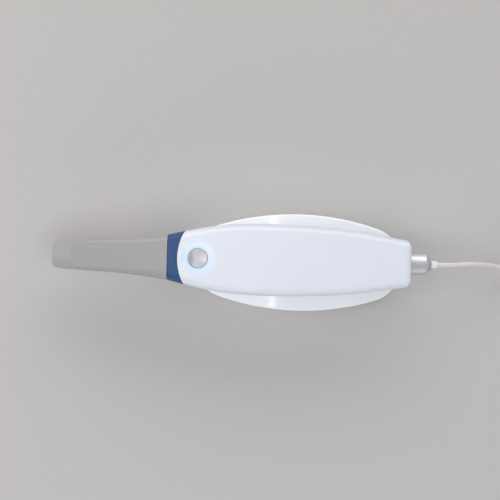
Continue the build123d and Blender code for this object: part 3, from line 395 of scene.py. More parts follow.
@dataclass(frozen=True)
class LitRing(Finish):
    """Milky ring with light behind it, bluest at the button and fading into the shell."""

    inner: float = 6.0 * MM
    outer: float = 9.5 * MM
    body: Stops = (
        (0.0, linear(176, 188, 206)),
        (0.03, linear(198, 213, 235)),
        (0.5, linear(200, 214, 235)),
        (1.0, linear(216, 222, 236)),
    )
    light: Stops = (
        (0.0, BLACK),
        (0.03, (0.10, 0.16, 0.27)),
        (0.5, (0.11, 0.16, 0.24)),
        (1.0, (0.05, 0.08, 0.12)),
    )
    # Painted highlight: a paler, whiter light mixed into the LED glow on the side towards the key
    # lamp.
    painted_highlight: Colour = (0.24, 0.25, 0.26)
    highlight_share: float = 0.7
    highlight_way: Tuple[float, float] = (0.3, 0.95)
    highlight_from: float = -4.0 * MM
    highlight_to: float = 12.0 * MM
    roughness: float = 0.32

    def dress(self, desk: ShaderDesk) -> None:
        """Sets the milky body and the LED light in it, with a painted highlight that makes the
        light paler on the side towards the key lamp.

        Args:
            desk: The material's desk.
        """
        from_inner = desk.from_point(BUTTON_CENTRE) - self.inner
        share = from_inner / (self.outer - self.inner)
        x, y, _ = desk.axes()
        # Painted highlight: the real LED glow is whitened on the side that faces the key lamp,
        # towards +y and a little +x.
        across = (x - BUTTON_CENTRE[0]) * self.highlight_way[0]
        side = across + (y - BUTTON_CENTRE[1]) * self.highlight_way[1]
        pale = side.smooth(self.highlight_from, self.highlight_to) * self.highlight_share
        light = desk.node("ShaderNodeValToRGB", {"stops": self.light}, {0: share})
        desk.set(
            Base_Color=desk.node("ShaderNodeValToRGB", {"stops": self.body}, {0: share}),
            Emission_Color=desk.mix(pale, light, self.painted_highlight),
            Emission_Strength=1.0,
            Roughness=desk.about(self.roughness, desk.noise(400.0), 0.05),
            Normal=desk.bump(desk.noise(1800.0), 0.000006),
        )


@dataclass(frozen=True)
class TurnedMetal(Finish):
    """Metal turned on a lathe about the long axis, with fine rings and a brighter cut end."""

    colour: Colour
    cut_from: float
    roughness: float = 0.28
    pitch: float = 0.18 * MM
    ring_share: float = 0.5
    depth: float = 0.000004
    lines: Point = (5200.0, 90.0, 90.0)

    def dress(self, desk: ShaderDesk) -> None:
        """Sets the turned rings, and the smoother end face behind them.

        Args:
            desk: The material's desk.
        """
        x, _, _ = desk.axes()
        streaks = desk.noise(1.0, detail=4.0, place=desk.stretched(self.lines))
        rings = (x * (2 * math.pi / self.pitch)).wave() * self.ring_share + streaks
        smoother = (x > self.cut_from) * (self.roughness * 0.45)
        desk.set(
            Base_Color=desk.tones(streaks, self.colour, 0.93, 1.05),
            Metallic=1.0,
            Roughness=desk.about(self.roughness, streaks, 0.12) - smoother,
            Normal=desk.bump(rings, self.depth),
        )


@dataclass(frozen=True)
class BrushedMetal(Finish):
    """Sheet or screw metal with short brushed lines along one axis."""

    colour: Colour
    roughness: float = 0.32
    lines: Point = (60.0, 4200.0, 4200.0)
    depth: float = 0.000004

    def dress(self, desk: ShaderDesk) -> None:
        """Sets the brushed lines.

        Args:
            desk: The material's desk.
        """
        brushing = desk.noise(1.0, detail=4.0, place=desk.stretched(self.lines))
        desk.set(
            Base_Color=desk.tones(brushing, self.colour, 0.9, 1.06),
            Metallic=1.0,
            Roughness=desk.about(self.roughness, brushing, 0.18),
            Normal=desk.bump(brushing, self.depth),
        )


@dataclass(frozen=True)
class DarkAlloy(Finish):
    """Anodised or lacquered aluminium with a soft sheen."""

    colour: Colour
    roughness: float = 0.42
    grain: float = 3200.0
    depth: float = 0.000004

    def dress(self, desk: ShaderDesk) -> None:
        """Sets the fine grain.

        Args:
            desk: The material's desk.
        """
        grain = desk.noise(self.grain, detail=3.0)
        desk.set(
            Base_Color=desk.tones(grain, self.colour, 0.85, 1.2),
            Metallic=0.75,
            Roughness=desk.about(self.roughness, grain, 0.15),
            Normal=desk.bump(grain, self.depth),
        )


@dataclass(frozen=True)
class OpticalGlass(Finish):
    """Ground glass with a thin coloured coating."""

    tint: Colour
    coating: Colour
    ior: float = 1.52
    haze: float = 0.02

    def dress(self, desk: ShaderDesk) -> None:
        """Sets the clear body and its coating.

        Args:
            desk: The material's desk.
        """
        cloud = desk.noise(300.0)
        desk.set(
            Base_Color=desk.tones(cloud, self.tint, 0.97, 1.0),
            Roughness=self.haze + cloud * self.haze,
            IOR=self.ior,
            Transmission_Weight=0.9,
            Coat_Weight=0.6,
            Coat_Tint=self.coating,
            Coat_Roughness=0.03,
        )


@dataclass(frozen=True)
class SilveredMirror(Finish):
    """Front-silvered mirror with the faintest haze."""

    colour: Colour
    haze: float = 0.015

    def dress(self, desk: ShaderDesk) -> None:
        """Sets the silvering.

        Args:
            desk: The material's desk.
        """
        cloud = desk.noise(500.0, detail=3.0)
        desk.set(
            Base_Color=desk.tones(cloud, self.colour, 0.98, 1.0),
            Metallic=1.0,
            Roughness=self.haze + cloud * (2 * self.haze),
        )


@dataclass(frozen=True)
class CircuitBoard(Finish):
    """Printed board: solder mask over copper tracks, with rows of tinned pads."""

    mask: Colour = (0.012, 0.11, 0.045)
    copper: Colour = (0.03, 0.21, 0.08)
    tin: Colour = (0.62, 0.60, 0.55)
    track_turns: float = 6200.0
    track_bend: float = 9.0
    pad_turns: Tuple[float, float] = (3900.0, 1450.0)

    def dress(self, desk: ShaderDesk) -> None:
        """Sets the tracks under the mask, and the pads on it.

        Args:
            desk: The material's desk.
        """
        x, y, _ = desk.axes()
        bend = desk.noise(90.0, detail=1.0) * self.track_bend
        tracks = (y * self.track_turns + bend).wave().smooth(0.35, 0.7)
        columns = (x * self.pad_turns[0]).wave().smooth(0.72, 0.85)
        rows = (y * self.pad_turns[1]).wave().smooth(0.8, 0.9)
        pads = columns * rows
        desk.set(
            Base_Color=desk.mix(pads, desk.mix(tracks, self.mask, self.copper), self.tin),
            Metallic=pads * 0.8,
            Roughness=desk.about(0.3, desk.noise(900.0), 0.1),
            Normal=desk.bump(tracks + pads, 0.00002),
        )


@dataclass(frozen=True)
class SoftRubber(Finish):
    """Rubber or thermoplastic elastomer with a matt, faintly powdery skin."""

    colour: Colour
    roughness: float = 0.62
    grain: float = 1700.0
    depth: float = 0.00002

    def dress(self, desk: ShaderDesk) -> None:
        """Sets the matt skin.

        Args:
            desk: The material's desk.
        """
        cloud = desk.noise(45.0, detail=3.0)
        desk.set(
            Base_Color=desk.tones(cloud, self.colour, 0.95, 1.05),
            Roughness=desk.about(self.roughness, cloud, 0.1),
            Sheen_Weight=0.15,
            Sheen_Roughness=0.5,
            Normal=desk.bump(desk.noise(self.grain, detail=4.0), self.depth),
        )


@dataclass(frozen=True)
class RibbedSheet(SoftRubber):
    """Rubber sheet with crossed ribs pressed into it."""

    pitch: float = 2.4 * MM
    rib_height: float = 0.2 * MM

    def dress(self, desk: ShaderDesk) -> None:
        """Sets the crossed ribs, with painted shade between them and painted light on their tops.

        Args:
            desk: The material's desk.
        """
        x, y, _ = desk.axes()
        turn = 2 * math.pi / self.pitch
        raised = (((x + y) * turn).wave() * ((x - y) * turn).wave()).smooth(-0.2, 0.5)
        desk.set(
            # Painted shade and light: the colour is darker between the ribs and lighter on their
            # raised tops.
            Base_Color=desk.tones(raised, self.colour, 0.8, 1.15),
            Roughness=desk.about(self.roughness, desk.noise(1200.0), 0.1),
            Normal=desk.bump(raised, self.rib_height),
        )


@dataclass(frozen=True)
class LoopedTape(Finish):
    """Hook-and-loop tape: short loops over a woven ground."""

    colour: Colour
    weave_turns: float = 9000.0
    weave_share: float = 0.35
    loop_scale: float = 4200.0
    depth: float = 0.25 * MM

    def dress(self, desk: ShaderDesk) -> None:
        """Sets the woven ground and the loops on it.

        Args:
            desk: The material's desk.
        """
        x, y, z = desk.axes()
        weave = (x * self.weave_turns).wave() * ((y + z) * self.weave_turns).wave()
        loops = desk.noise(self.loop_scale, detail=4.0)
        desk.set(
            Base_Color=desk.tones(loops, self.colour, 0.6, 1.7),
            Roughness=desk.about(0.85, loops, 0.2),
            Sheen_Weight=0.4,
            Sheen_Roughness=0.6,
            Normal=desk.bump(weave * self.weave_share + loops, self.depth),
        )


@dataclass(frozen=True)
class CableJacket(Finish):
    """Smooth extruded cable jacket, a little uneven in tone along its length."""

    colour: Colour
    roughness: float = 0.42
    depth: float = 0.000006

    def dress(self, desk: ShaderDesk) -> None:
        """Sets the smooth skin.

        Args:
            desk: The material's desk.
        """
        cloud = desk.noise(70.0, detail=3.0)
        desk.set(
            Base_Color=desk.tones(cloud, self.colour, 0.96, 1.04),
            Roughness=desk.about(self.roughness, cloud, 0.12),
            Sheen_Weight=0.1,
            Normal=desk.bump(desk.noise(1500.0, detail=3.0), self.depth),
        )


@dataclass(frozen=True)
class StudioFloor(Finish):
    """Plain pale table top, which fades into the pale backdrop well away from the object."""

    colour: Colour
    near_glow: Colour = linear(196, 195, 193)
    far_glow: Colour = linear(238, 240, 242)
    fade: Tuple[float, float] = (0.3, 1.1)
    glow_rise: Tuple[float, float] = (0.5, 3.6)

    def dress(self, desk: ShaderDesk) -> None:
        """Sets the table top, and the backdrop that it fades into.

        Args:
            desk: The material's desk.
        """
        desk.set(
            Base_Color=desk.tones(desk.noise(3.0), self.colour, 0.995, 1.0),
            Roughness=0.9,
            Specular_IOR_Level=0.1,
        )
        distance = desk.from_point()
        glow_colour = desk.mix(distance.smooth(*self.glow_rise), self.near_glow, self.far_glow)
        glow = desk.node("ShaderNodeEmission", {}, {"Color": glow_colour})
        faded = desk.seen_by("Camera", "Glossy") * distance.smooth(*self.fade)
        desk.show(desk.node("ShaderNodeMixShader", {}, {0: faded, 1: desk.lit, 2: glow}))


def wear(node: str, material: bpy.types.Material) -> None:
    """Gives a CAD node its finish.

    Args:
        node: The node's name.
        material: The finish.
    """
    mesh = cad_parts[node].data
    mesh.materials.clear()
    mesh.materials.append(material)
    LOG.info("dressed %s with %s", node, material.name)


def deselect_everything() -> None:
    """Leaves edit mode and clears the selection, so that an operator meets only its own piece."""
    if bpy.context.object and bpy.context.object.mode != "OBJECT":
        bpy.ops.object.mode_set(mode="OBJECT")
    bpy.ops.object.select_all(action="DESELECT")


def apply_place() -> None:
    """Puts the active piece's place, turn and scale in its mesh."""
    bpy.ops.object.transform_apply(location=True, rotation=True, scale=True)


def to_edit(mode: str = "FACE", action: str = "SELECT") -> None:
    """Opens the active piece for editing, with all or none of it selected.

    Args:
        mode: What is selected: VERT, EDGE or FACE.
        action: SELECT for all of it, or DESELECT for none.
    """
    bpy.ops.object.mode_set(mode="EDIT")
    bpy.ops.mesh.select_mode(type=mode)
    bpy.ops.mesh.select_all(action=action)


def push_out(step: Point, scale: Point = (1.0, 1.0, 1.0), about: Optional[Point] = None) -> None:
    """Extrudes what is selected and resizes what comes out.

    Args:
        step: How far the new faces or edges move, in metres.
        scale: How much they are then resized on each axis.
        about: The point that they are resized about.
    """
    bpy.ops.mesh.extrude_region_move(TRANSFORM_OT_translate={"value": step})
    if about is not None:
        bpy.ops.transform.resize(value=scale, center_override=about)


def soften(piece: bpy.types.Object, width: float, angle: float = SHARP_DEGREES) -> None:
    """Adds a fine rounding along a piece's sharp edges.

    Args:
        piece: The piece.
        width: The rounding's width in metres.
        angle: The angle in degrees from which an edge is sharp.
    """
    rounding = piece.modifiers.new("soften", "BEVEL")
    rounding.width, rounding.segments, rounding.limit_method = width, 2, "ANGLE"
    rounding.angle_limit = math.radians(angle)


def finish_piece(name: str, material: bpy.types.Material) -> None:
    """Takes the active piece out of edit mode, puts its place in its mesh and dresses it.

    Args:
        name: The piece's name.
        material: Its finish.
    """
    if bpy.context.object.mode == "EDIT":
        bpy.ops.mesh.select_all(action="SELECT")
        bpy.ops.mesh.normals_make_consistent(inside=False)
        bpy.ops.object.mode_set(mode="OBJECT")
    piece = bpy.context.object
    piece.name = piece.data.name = name
    apply_place()
    for modifier in list(piece.modifiers):
        bpy.ops.object.modifier_apply(modifier=modifier.name)
    bpy.ops.object.shade_smooth_by_angle(angle=math.radians(SHARP_DEGREES))
    piece.data.materials.clear()
    piece.data.materials.append(material)
    deselect_everything()
    LOG.info("shaped %s: %d faces", name, len(piece.data.polygons))


class LampSide(Enum):
    """Where a lamp stands, as the photograph shows the object."""

    KEY = "key"
    FILL = "fill"
    OVERHEAD = "overhead"
    LEFT = "left"
    HIGH_LEFT = "high_left"
    SIDE = "side"
    PANEL = "panel"
    STRIP = "strip"


@dataclass
class SoftLamp:
    """One soft rectangular lamp. Glossy surfaces show it where it is mirrored."""

    side: LampSide
    place: Point
    size: Tuple[float, float]
    power: float
    aim: Point = (-0.02, 0.0, 0.02)
    mirrored: bool = True
    tint: Colour = WHITE

    def build(self) -> bpy.types.Object:
        """Adds the lamp, aimed at its target.

        Returns:
            The lamp.
        """
        data = bpy.data.lights.new(self.side.value, "AREA")
        data.shape = "RECTANGLE"
        data.size, data.size_y = self.size
        data.energy = self.power
        data.color = self.tint
        lamp = bpy.data.objects.new(self.side.value, data)
        lamp.location = self.place
        towards = Vector(self.aim) - Vector(self.place)
        lamp.rotation_euler = towards.to_track_quat("-Z", "Y").to_euler()
        lamp.visible_camera = False
        lamp.visible_glossy = self.mirrored
        bpy.context.scene.collection.objects.link(lamp)
        return lamp


@dataclass
class Studio:
    """Camera, lamps, world and floor."""

    turn_degrees: float = 1.65
    middle: Tuple[float, float] = (-28.4 * MM, 7.05 * MM)
    camera_height: float = 0.734
    lens: float = 85.0
    sensor: float = 36.0
    sky_tint: Colour = (0.97, 0.985, 1.0)
    sky_light: float = 0.235
    horizon: float = 0.9
    zenith: float = 0.26
    floor_size: float = 8.0
    floor_colour: Colour = linear(196, 193, 191)

    def camera(self) -> bpy.types.Object:
        """Looks straight down, turned as the photograph is against the long axis.

        Colours are shown as they are written.

        Returns:
            The camera.
        """
        data = bpy.data.cameras.new("camera")
        data.lens = self.lens
        data.sensor_width = self.sensor
        camera = bpy.data.objects.new("camera", data)
        camera.location = (self.middle[0], self.middle[1], self.camera_height)
        camera.rotation_euler = (0.0, 0.0, math.radians(self.turn_degrees))
        bpy.context.scene.collection.objects.link(camera)
        bpy.context.scene.camera = camera
        bpy.context.scene.view_settings.view_transform = "Standard"
        return camera

    def lamps(self) -> Sequence[SoftLamp]:
        """Sets out the lamps.

        Returns:
            The key lamp and its helpers, a low lamp for the tip's slope, and two lamps straight
            above that stand in the cradle's gloss as the photograph's bright bars do.
        """
        cool, cooler = (0.94, 0.97, 1.0), (0.93, 0.96, 1.0)
        over_bar, over_line = (-0.48, 0.0, 0.0), (-0.13, 0.0, 0.0)
        return (
            SoftLamp(LampSide.KEY, (0.15, 1.75, 0.85), (3.2, 0.9), 26.8),
            SoftLamp(
                LampSide.FILL, (0.2, -1.8, 0.5), (2.2, 0.9), 7.2, mirrored=False, tint=cooler
            ),
            SoftLamp(LampSide.SIDE, (0.2, -1.8, 0.52), (2.2, 0.9), 3.8),
            SoftLamp(LampSide.LEFT, (-1.38, 0.05, 0.38), (0.6, 0.8), 6.4),
            SoftLamp(LampSide.HIGH_LEFT, (-0.7, 0.02, 0.97), (0.25, 0.6), 0.95),
            SoftLamp(
                LampSide.OVERHEAD, (0.45, -0.46, 1.1), (1.3, 0.3), 3.4, mirrored=False, tint=cool
            ),
            SoftLamp(LampSide.PANEL, (-0.48, 0.0, 1.12), (0.62, 1.6), 2.0, aim=over_bar),
            SoftLamp(LampSide.STRIP, (-0.13, 0.0, 1.15), (0.05, 1.6), 1.3, aim=over_line),
        )

    def sky(self) -> None:
        """Lights the object evenly, and shows camera, gloss and glass a paler sky instead."""
        world = bpy.data.worlds.new("studio")
        world.use_nodes = True
        desk = NodeDesk(world.node_tree)
        background = desk.tree.nodes["Background"]
        desk.fill(background.inputs["Color"], self.sky_tint)
        _, _, height = desk.split(desk.node("ShaderNodeTexCoord", {}, {}, "Generated"))
        rise = {0: height, 1: 0.0, 2: 1.0, 3: self.horizon, 4: self.zenith}
        shown = desk.node("ShaderNodeMapRange", {}, rise)
        seen = desk.seen_by("Camera", "Glossy", "Transmission")
        level = desk.node("ShaderNodeMix", {}, {0: seen, 2: self.sky_light, 3: shown})
        desk.fill(background.inputs["Strength"], level)
        bpy.context.scene.world = world

    def lights(self) -> None:
        """Adds the lamps and the world's even light."""
        for lamp in self.lamps():
            lamp.build()
        self.sky()

    def floor(self) -> None:
        """Lays the pale table top under the object."""
        deselect_everything()
        bpy.ops.mesh.primitive_plane_add(size=self.floor_size, location=(0.0, 0.0, 0.0))
        table = bpy.context.object
        table.name = "table_top"
        table.data.materials.append(StudioFloor("table_top", self.floor_colour).build())


@dataclass
class CablePlug:
    """The plug at the cable's far end, with its grooved sleeve and gilt contacts."""

    sleeve_sides: int = 40
    start_radius: float = 1.85 * MM
    end_radius: float = 2.6 * MM
    grooves: int = 5
    rib: float = 0.62 * MM
    groove: float = 0.45 * MM
    groove_flank: float = 0.08 * MM
    groove_depth: float = 0.38 * MM
    sleeve_rounding: float = 0.06 * MM
    contacts_a_face: int = 12
    contact_pitch: float = 0.5 * MM
    contact_width: float = 0.26 * MM
    contact_thickness: float = 0.09 * MM
    contact_share: float = 0.72
    contact_setback: float = 0.5 * MM
    contact_rounding: float = 0.03 * MM
    white: Colour = linear(222, 222, 226)

    def boot(self) -> bpy.types.Object:
        """Shapes the plug's flexible sleeve, whose grooves let it bend with the cable.

        Returns:
            The sleeve, in the place of its plain solid.
        """
        low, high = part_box("plug_relief")
        middle_x, middle_z = (low[0] + high[0]) / 2, (low[2] + high[2]) / 2
        length = high[1] - low[1]
        deselect_everything()
        bpy.ops.mesh.primitive_circle_add(
            vertices=self.sleeve_sides,
            radius=self.start_radius,
            fill_type="NGON",
            location=(middle_x, low[1], middle_z),
            rotation=(math.pi / 2, 0.0, 0.0),
        )
        to_edit()
        one_groove = [
            (self.rib, 0.0),
            (self.groove_flank, self.groove_depth),
            (self.groove, self.groove_depth),
            (self.groove_flank, 0.0),
        ]
        steps = one_groove * self.grooves
        steps.append((length - sum(step for step, _ in steps), 0.0))
        place, radius = low[1], self.start_radius
        for step, sink in steps:
            place += step
            share = (place - low[1]) / length
            wanted = self.start_radius + (self.end_radius - self.start_radius) * share - sink
            factor = wanted / radius
            push_out((0.0, step, 0.0), (factor, 1.0, factor), (middle_x, place, middle_z))
            radius = wanted
        sleeve = bpy.context.object
        soften(sleeve, self.sleeve_rounding)
        finish_piece("plug_boot", SoftRubber("boot_white", self.white, 0.5).build())
        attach(sleeve, "handle")
        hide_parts("plug_relief")
        return sleeve

    def contacts(self) -> bpy.types.Object:
        """Shapes one gilt contact, and repeats it across both faces of the plug's tongue.

        Returns:
            The contacts as one piece.
        """
        low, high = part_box("plug_tongue")
        length = (high[1] - low[1]) * self.contact_share
        middle_x, middle_z = (low[0] + high[0]) / 2, (low[2] + high[2]) / 2
        first_x = middle_x - self.contact_pitch * (self.contacts_a_face - 1) / 2
        deselect_everything()
        bpy.ops.mesh.primitive_cube_add(
            size=1.0,
            location=(first_x, high[1] - self.contact_setback - length / 2, high[2]),
            scale=(self.contact_width, length, self.contact_thickness),
        )
        apply_place()
        to_edit()
        bpy.ops.mesh.bevel(offset=self.contact_rounding, segments=2)
        bpy.ops.object.mode_set(mode="OBJECT")
        contact = bpy.context.object
        row = contact.modifiers.new("row", "ARRAY")
        row.count = self.contacts_a_face
        row.use_relative_offset, row.use_constant_offset = False, True
        row.constant_offset_displace = (self.contact_pitch, 0.0, 0.0)
        bpy.ops.object.modifier_apply(modifier=row.name)
        to_edit()
        bpy.ops.mesh.duplicate()
        bpy.ops.transform.translate(value=(0.0, 0.0, -2 * (high[2] - middle_z)))
        lines = (4200.0, 60.0, 4200.0)
        gilt = BrushedMetal("contact_gilt", (0.83, 0.62, 0.24), 0.22, lines).build()
        finish_piece("plug_contacts", gilt)
        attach(contact, "handle")
        return contact

    def dress(self) -> None:
        """Dresses the plug's own nodes."""
        wear("plug_body", MouldedPlastic("plug_white", self.white, 0.38, coat=0.1).build())
        wear("plug_shell", BrushedMetal("plug_metal", (0.62, 0.62, 0.64), 0.25).build())
        wear("plug_tongue", MouldedPlastic("tongue_black", (0.02, 0.02, 0.022), 0.45).build())


@dataclass
class CoilTie:
    """The tape that holds the coil, with its free end."""

    start_y: float = 13.2 * MM
    end_z: float = 3.6 * MM
    corner: float = 2.1 * MM
    corner_steps: int = 6
    sink: float = 0.03 * MM
    thickness: float = 0.75 * MM
    narrower: float = 0.3 * MM
    strip: float = 1.0 * MM
    flat_steps: Tuple[float, ...] = (1.0 * MM, 3.0 * MM, 5.0 * MM)
    down_steps: Tuple[float, ...] = (1.5 * MM, 3.0 * MM, 4.5 * MM)
    end_rounding: float = 3.4 * MM
    end_segments: int = 6
    edge_rounding: float = 0.16 * MM

    def tail_line(self, outer_y: float, top_z: float) -> List[Tuple[float, float]]:
        """Draws the free end's way over the band.

        Args:
            outer_y: How far out the band's outer side lies.
            top_z: How high the band's top lies.

        Returns:
            The y and z of each step, along the top, round the corner and down.
        """
        line = [(self.start_y + step, top_z) for step in self.flat_steps]
        for step in range(self.corner_steps + 1):
            turn = math.pi / 2 * step / self.corner_steps
            out, up = self.corner * math.sin(turn), self.corner * math.cos(turn)
            line.append((outer_y - self.corner + out, top_z - self.corner + up))
        line += [(outer_y, top_z - self.corner - step) for step in self.down_steps]
        return line + [(outer_y, self.end_z)]

    def tail(self) -> bpy.types.Object:
        """Lays the tie's free end over its closed band, down the coil's outer side.

        Returns:
            The free end, rounded off at its tip.
        """
        low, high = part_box("coil_tie")
        line = self.tail_line(high[1] - self.sink, high[2] - self.sink)
        middle_x, width = (low[0] + high[0]) / 2, high[0] - low[0] - self.narrower
        deselect_everything()
        bpy.ops.mesh.primitive_plane_add(
            size=1.0, location=(middle_x, self.start_y + self.strip / 2, line[0][1])
        )
        bpy.ops.transform.resize(value=(width, self.strip, 1.0))
        apply_place()
        to_edit("EDGE", "DESELECT")
        bpy.ops.object.mode_set(mode="OBJECT")
        tail = bpy.context.object
        for edge in tail.data.edges:
            nearest = min(tail.data.vertices[index].co.y for index in edge.vertices)
            edge.select = nearest > self.start_y + self.strip / 2
        bpy.ops.object.mode_set(mode="EDIT")
        for here, there in zip(line, line[1:]):
            push_out((0.0, there[0] - here[0], there[1] - here[1]))
        bpy.ops.mesh.bevel(
            offset=self.end_rounding, segments=self.end_segments, affect="VERTICES"
        )
        thick = tail.modifiers.new("thick", "SOLIDIFY")
        thick.thickness, thick.offset = self.thickness, 1.0
        soften(tail, self.edge_rounding, 50.0)
        finish_piece("tie_tail", LoopedTape("tail_tape", (0.04, 0.041, 0.047)).build())
        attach(tail, "handle")
        return tail

    def dress(self) -> None:
        """Dresses the closed band."""
        wear("coil_tie", LoopedTape("tie_tape", (0.035, 0.036, 0.042)).build())


@dataclass
class DataCable:
    """The cable from the strain relief to the plug, with its put-away coil.

    The lead and the tail repeat the route of the solids, in millimetres.
    """

    diameter: float = 2.7 * MM
    length: float = 2.0
    coil_middle: Tuple[float, float] = (170.0 * MM, 0.4 * MM)
    rows: int = 5
    layers: int = 4
    outer_turn: float = 20.4 * MM
    points_a_turn: int = 16
    start_angle: float = -math.pi / 2
    step_share: float = 0.3
    line_steps: int = 6
    round_steps: int = 5
    lead: Tuple[Point, ...] = (
        (83.6, 1.4, 26.0),
        (92.5, 1.4, 26.0),
        (103.0, 2.4, 23.6),
        (114.5, 2.4, 16.6),
        (127.0, 0.9, 6.6),
        (139.0, -3.6, 1.35),
        (149.5, -10.2, 1.35),
        (160.0, -17.6, 1.35),
    )
    tail: Tuple[Point, ...] = (
        (181.0, -20.6, 8.0),
        (190.5, -17.0, 4.9),
        (196.5, -9.0, 3.1),
        (196.5, 0.5, 3.1),
    )
    jacket: Colour = linear(224, 218, 220)
    carried: Tuple[str, ...] = (
        "strain_relief",
        "coil_tie",
        "plug_body",
        "plug_shell",
        "plug_tongue",
    )
    plug: CablePlug = field(default_factory=CablePlug)
    tie: CoilTie = field(default_factory=CoilTie)

    def coil_points(self) -> List[Point]:
        """Winds the coil from its outer turn inwards and out again, layer on layer.

        Near the end of each turn the cable eases over to the next row, or up to the next layer.

        Returns:
            Control points, which lie a little outside the smooth line that they draw.
        """
        # A line of order 3 runs inside its control points, on a circle by this share.
        spread = 0.75 + 0.25 * math.cos(2 * math.pi / self.points_a_turn)
        turns = self.rows * self.layers
        points = []
        for step in range(turns * self.points_a_turn + 1):
            turn = step / self.points_a_turn
            whole = min(int(turn), turns - 1)
            layer, row = divmod(whole, self.rows)
            shift = max(0.0, (turn - whole - 1 + self.step_share) / self.step_share)
            shift = shift * shift * (3 - 2 * shift)
            last = row == self.rows - 1
            height = layer + (shift if last and layer < self.layers - 1 else 0.0)
            inward = row + (0.0 if last else shift)
            if layer % 2:
                inward = self.rows - 1 - inward
            radius = (self.outer_turn - inward * self.diameter) / spread
            angle = 2 * math.pi * turn + self.start_angle
            x = self.coil_middle[0] + radius * math.cos(angle)
            y = self.coil_middle[1] + radius * math.sin(angle)
            points.append((x, y, self.diameter * (0.5 + height)))
        return points

    def draw(self) -> bpy.types.Object:
        """Draws the cable as one smooth line.

        Returns:
            The cable's curve.
        """
        points = metres(self.lead) + self.coil_points() + metres(self.tail)
        curve = bpy.data.curves.new("data_cable", "CURVE")
        curve.dimensions = "3D"
        spline = curve.splines.new("NURBS")
        spline.points.add(len(points) - 1)
        for target, point in zip(spline.points, points):
            target.co = point + (1.0,)
        spline.order_u = 3
        spline.use_endpoint_u = True
        spline.resolution_u = self.line_steps
        curve.bevel_depth = self.diameter / 2
        curve.bevel_resolution = self.round_steps
        curve.use_fill_caps = True
        cable = bpy.data.objects.new("data_cable", curve)
        bpy.context.scene.collection.objects.link(cable)
        curve.materials.append(CableJacket("cable_jacket", self.jacket).build())
        return cable

    def build(self) -> bpy.types.Object:
        """Returns:
            The cable.
        """
        cable = self.draw()
        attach(cable, "handle")
        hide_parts("cable", "cable_coil", "cable_tail")
        on_cable = [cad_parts[node] for node in self.carried]
        on_cable += [self.plug.boot(), self.plug.contacts(), self.tie.tail()]
        LOG.info("laid the cable")
        return cable

    def dress(self) -> None:
        """Dresses the tie and the plug."""
        self.tie.dress()
        self.plug.dress()


@dataclass
class ScanTip:
    """The removable tip with its mirror."""

    grey: MouldedPlastic = MouldedPlastic("tip_grey", linear(162, 159, 162), 0.38, depth=0.00001)

    def dress(self) -> None:
        """Dresses the sleeve and the mirror."""
        wear("tip_shell", self.grey.build())
        wear("tip_mirror", SilveredMirror("tip_mirror", (0.9, 0.92, 0.93)).build())


@dataclass
class OpticalNose:
    """The snout under the tip and the optics behind its window."""

    black: MouldedPlastic = MouldedPlastic("snout_black", (0.022, 0.022, 0.024), 0.5)

    def dress(self) -> None:
        """Dresses the snout, its glass and the optics."""
        glass = OpticalGlass("coated_glass", (0.93, 0.97, 1.0), (0.75, 0.7, 1.0)).build()
        for node in ("snout_window", "front_lens", "beam_prism"):
            wear(node, glass)
        wear("optical_snout", self.black.build())
        wear("lens_barrel", DarkAlloy("black_alloy", (0.03, 0.03, 0.033)).build())
        wear("light_engine", BrushedMetal("engine_alloy", (0.55, 0.56, 0.58), 0.4).build())


@dataclass
class Handle:
    """The white shells, the blue collar and the button with its lit ring."""

    white: Colour = linear(229, 232, 242)
    blue: Colour = linear(32, 71, 120)
    silver: Colour = linear(191, 190, 195)

    def dress(self) -> None:
        """Dresses the outside of the handle."""
        satin = {"roughness": 0.42, "depth": 0.000006, "coat": 0.06, "coat_roughness": 0.3}
        collar = MouldedPlastic("collar_blue", self.blue, 0.46, depth=0.000008)
        button = MouldedPlastic("button_grey", self.silver, 0.3, depth=0.000003, metallic=0.6)
        wear("upper_shell", GlowingShell("shell_white", self.white, **satin).build())
        wear("lower_shell", MouldedPlastic("belly_white", self.white, **satin).build())
        wear("front_collar", collar.build())
        wear("light_ring", LitRing("lit_ring").build())
        wear("scan_button", button.build())


@dataclass
class RearGland:
    """The turned gland in the rear face and the strain relief in it."""

    end_x: float = 77.3 * MM

    def dress(self) -> None:
        """Dresses the gland, its ring and the strain relief."""
        metal = TurnedMetal("gland_metal", (0.65, 0.66, 0.67), self.end_x, 0.53)
        wear("cable_gland", metal.build())
        wear("gland_nut", BrushedMetal("nut_metal", (0.6, 0.6, 0.6)).build())
        wear("gland_ring", MouldedPlastic("ring_dark", linear(162, 161, 168), 0.4).build())
        wear("strain_relief", SoftRubber("relief_white", linear(240, 239, 242), 0.5).build())


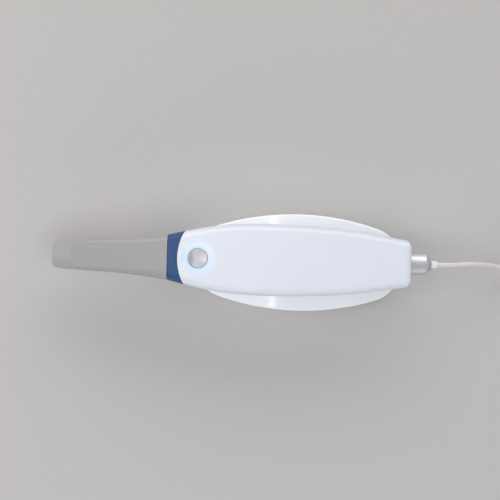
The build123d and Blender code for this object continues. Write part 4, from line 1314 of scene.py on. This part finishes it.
@dataclass
class InnerWorks:
    """Chassis, boards and their small parts inside the shells."""

    boards: Tuple[str, ...] = ("main_board", "button_board", "sensor_board")
    screws: Tuple[str, ...] = (
        "chassis_screws",
        "board_screws",
        "button_board_screws",
        "cradle_screws",
    )
    chips: Tuple[str, ...] = ("processor", "image_sensor", "board_connector")

    def dress(self) -> None:
        """Dresses all that the shells hold."""
        board = CircuitBoard("green_board").build()
        screw = BrushedMetal("screw_steel", (0.6, 0.6, 0.61), 0.3).build()
        chip = MouldedPlastic("chip_black", (0.02, 0.02, 0.021), 0.48, depth=0.00003).build()
        for nodes, material in ((self.boards, board), (self.screws, screw), (self.chips, chip)):
            for node in nodes:
                wear(node, material)
        wear("chassis_frame", BrushedMetal("chassis_alloy", (0.66, 0.67, 0.68), 0.36).build())
        wear("press_switch", BrushedMetal("switch_metal", (0.55, 0.55, 0.56)).build())
        wear("ring_leds", MouldedPlastic("led_white", (0.85, 0.85, 0.7), 0.3).build())
        wear("inner_lead", CableJacket("lead_jacket", linear(210, 205, 207)).build())


@dataclass
class DeskCradle:
    """The glossy cradle with its pads, base plate and non-slip sheet."""

    white: Colour = linear(244, 246, 250)

    def dress(self) -> None:
        """Dresses the cradle."""
        polish = {"roughness": 0.14, "depth": 0.000002, "coat": 0.6, "coat_roughness": 0.05}
        wear("cradle_shell", MouldedPlastic("cradle_white", self.white, **polish).build())
        wear("cradle_base", DarkAlloy("base_lacquer", (0.25, 0.26, 0.27)).build())
        wear("cradle_pads", SoftRubber("pad_grey", linear(150, 152, 156)).build())
        wear("grip_sheet", RibbedSheet("grip_grey", (0.06, 0.06, 0.065)).build())


def main() -> None:
    """Builds the scene, camera and cable first."""
    logging.basicConfig(level=logging.INFO, format="%(name)s: %(message)s")
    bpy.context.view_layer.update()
    studio = Studio()
    studio.camera()
    cable = DataCable()
    cable.build()
    dressed = (cable, ScanTip(), OpticalNose(), Handle(), RearGland(), InnerWorks(), DeskCradle())
    for assembly in dressed:
        assembly.dress()
        LOG.info("finished %s", type(assembly).__name__)
    studio.floor()
    studio.lights()


if __name__ == "__main__":
    main()
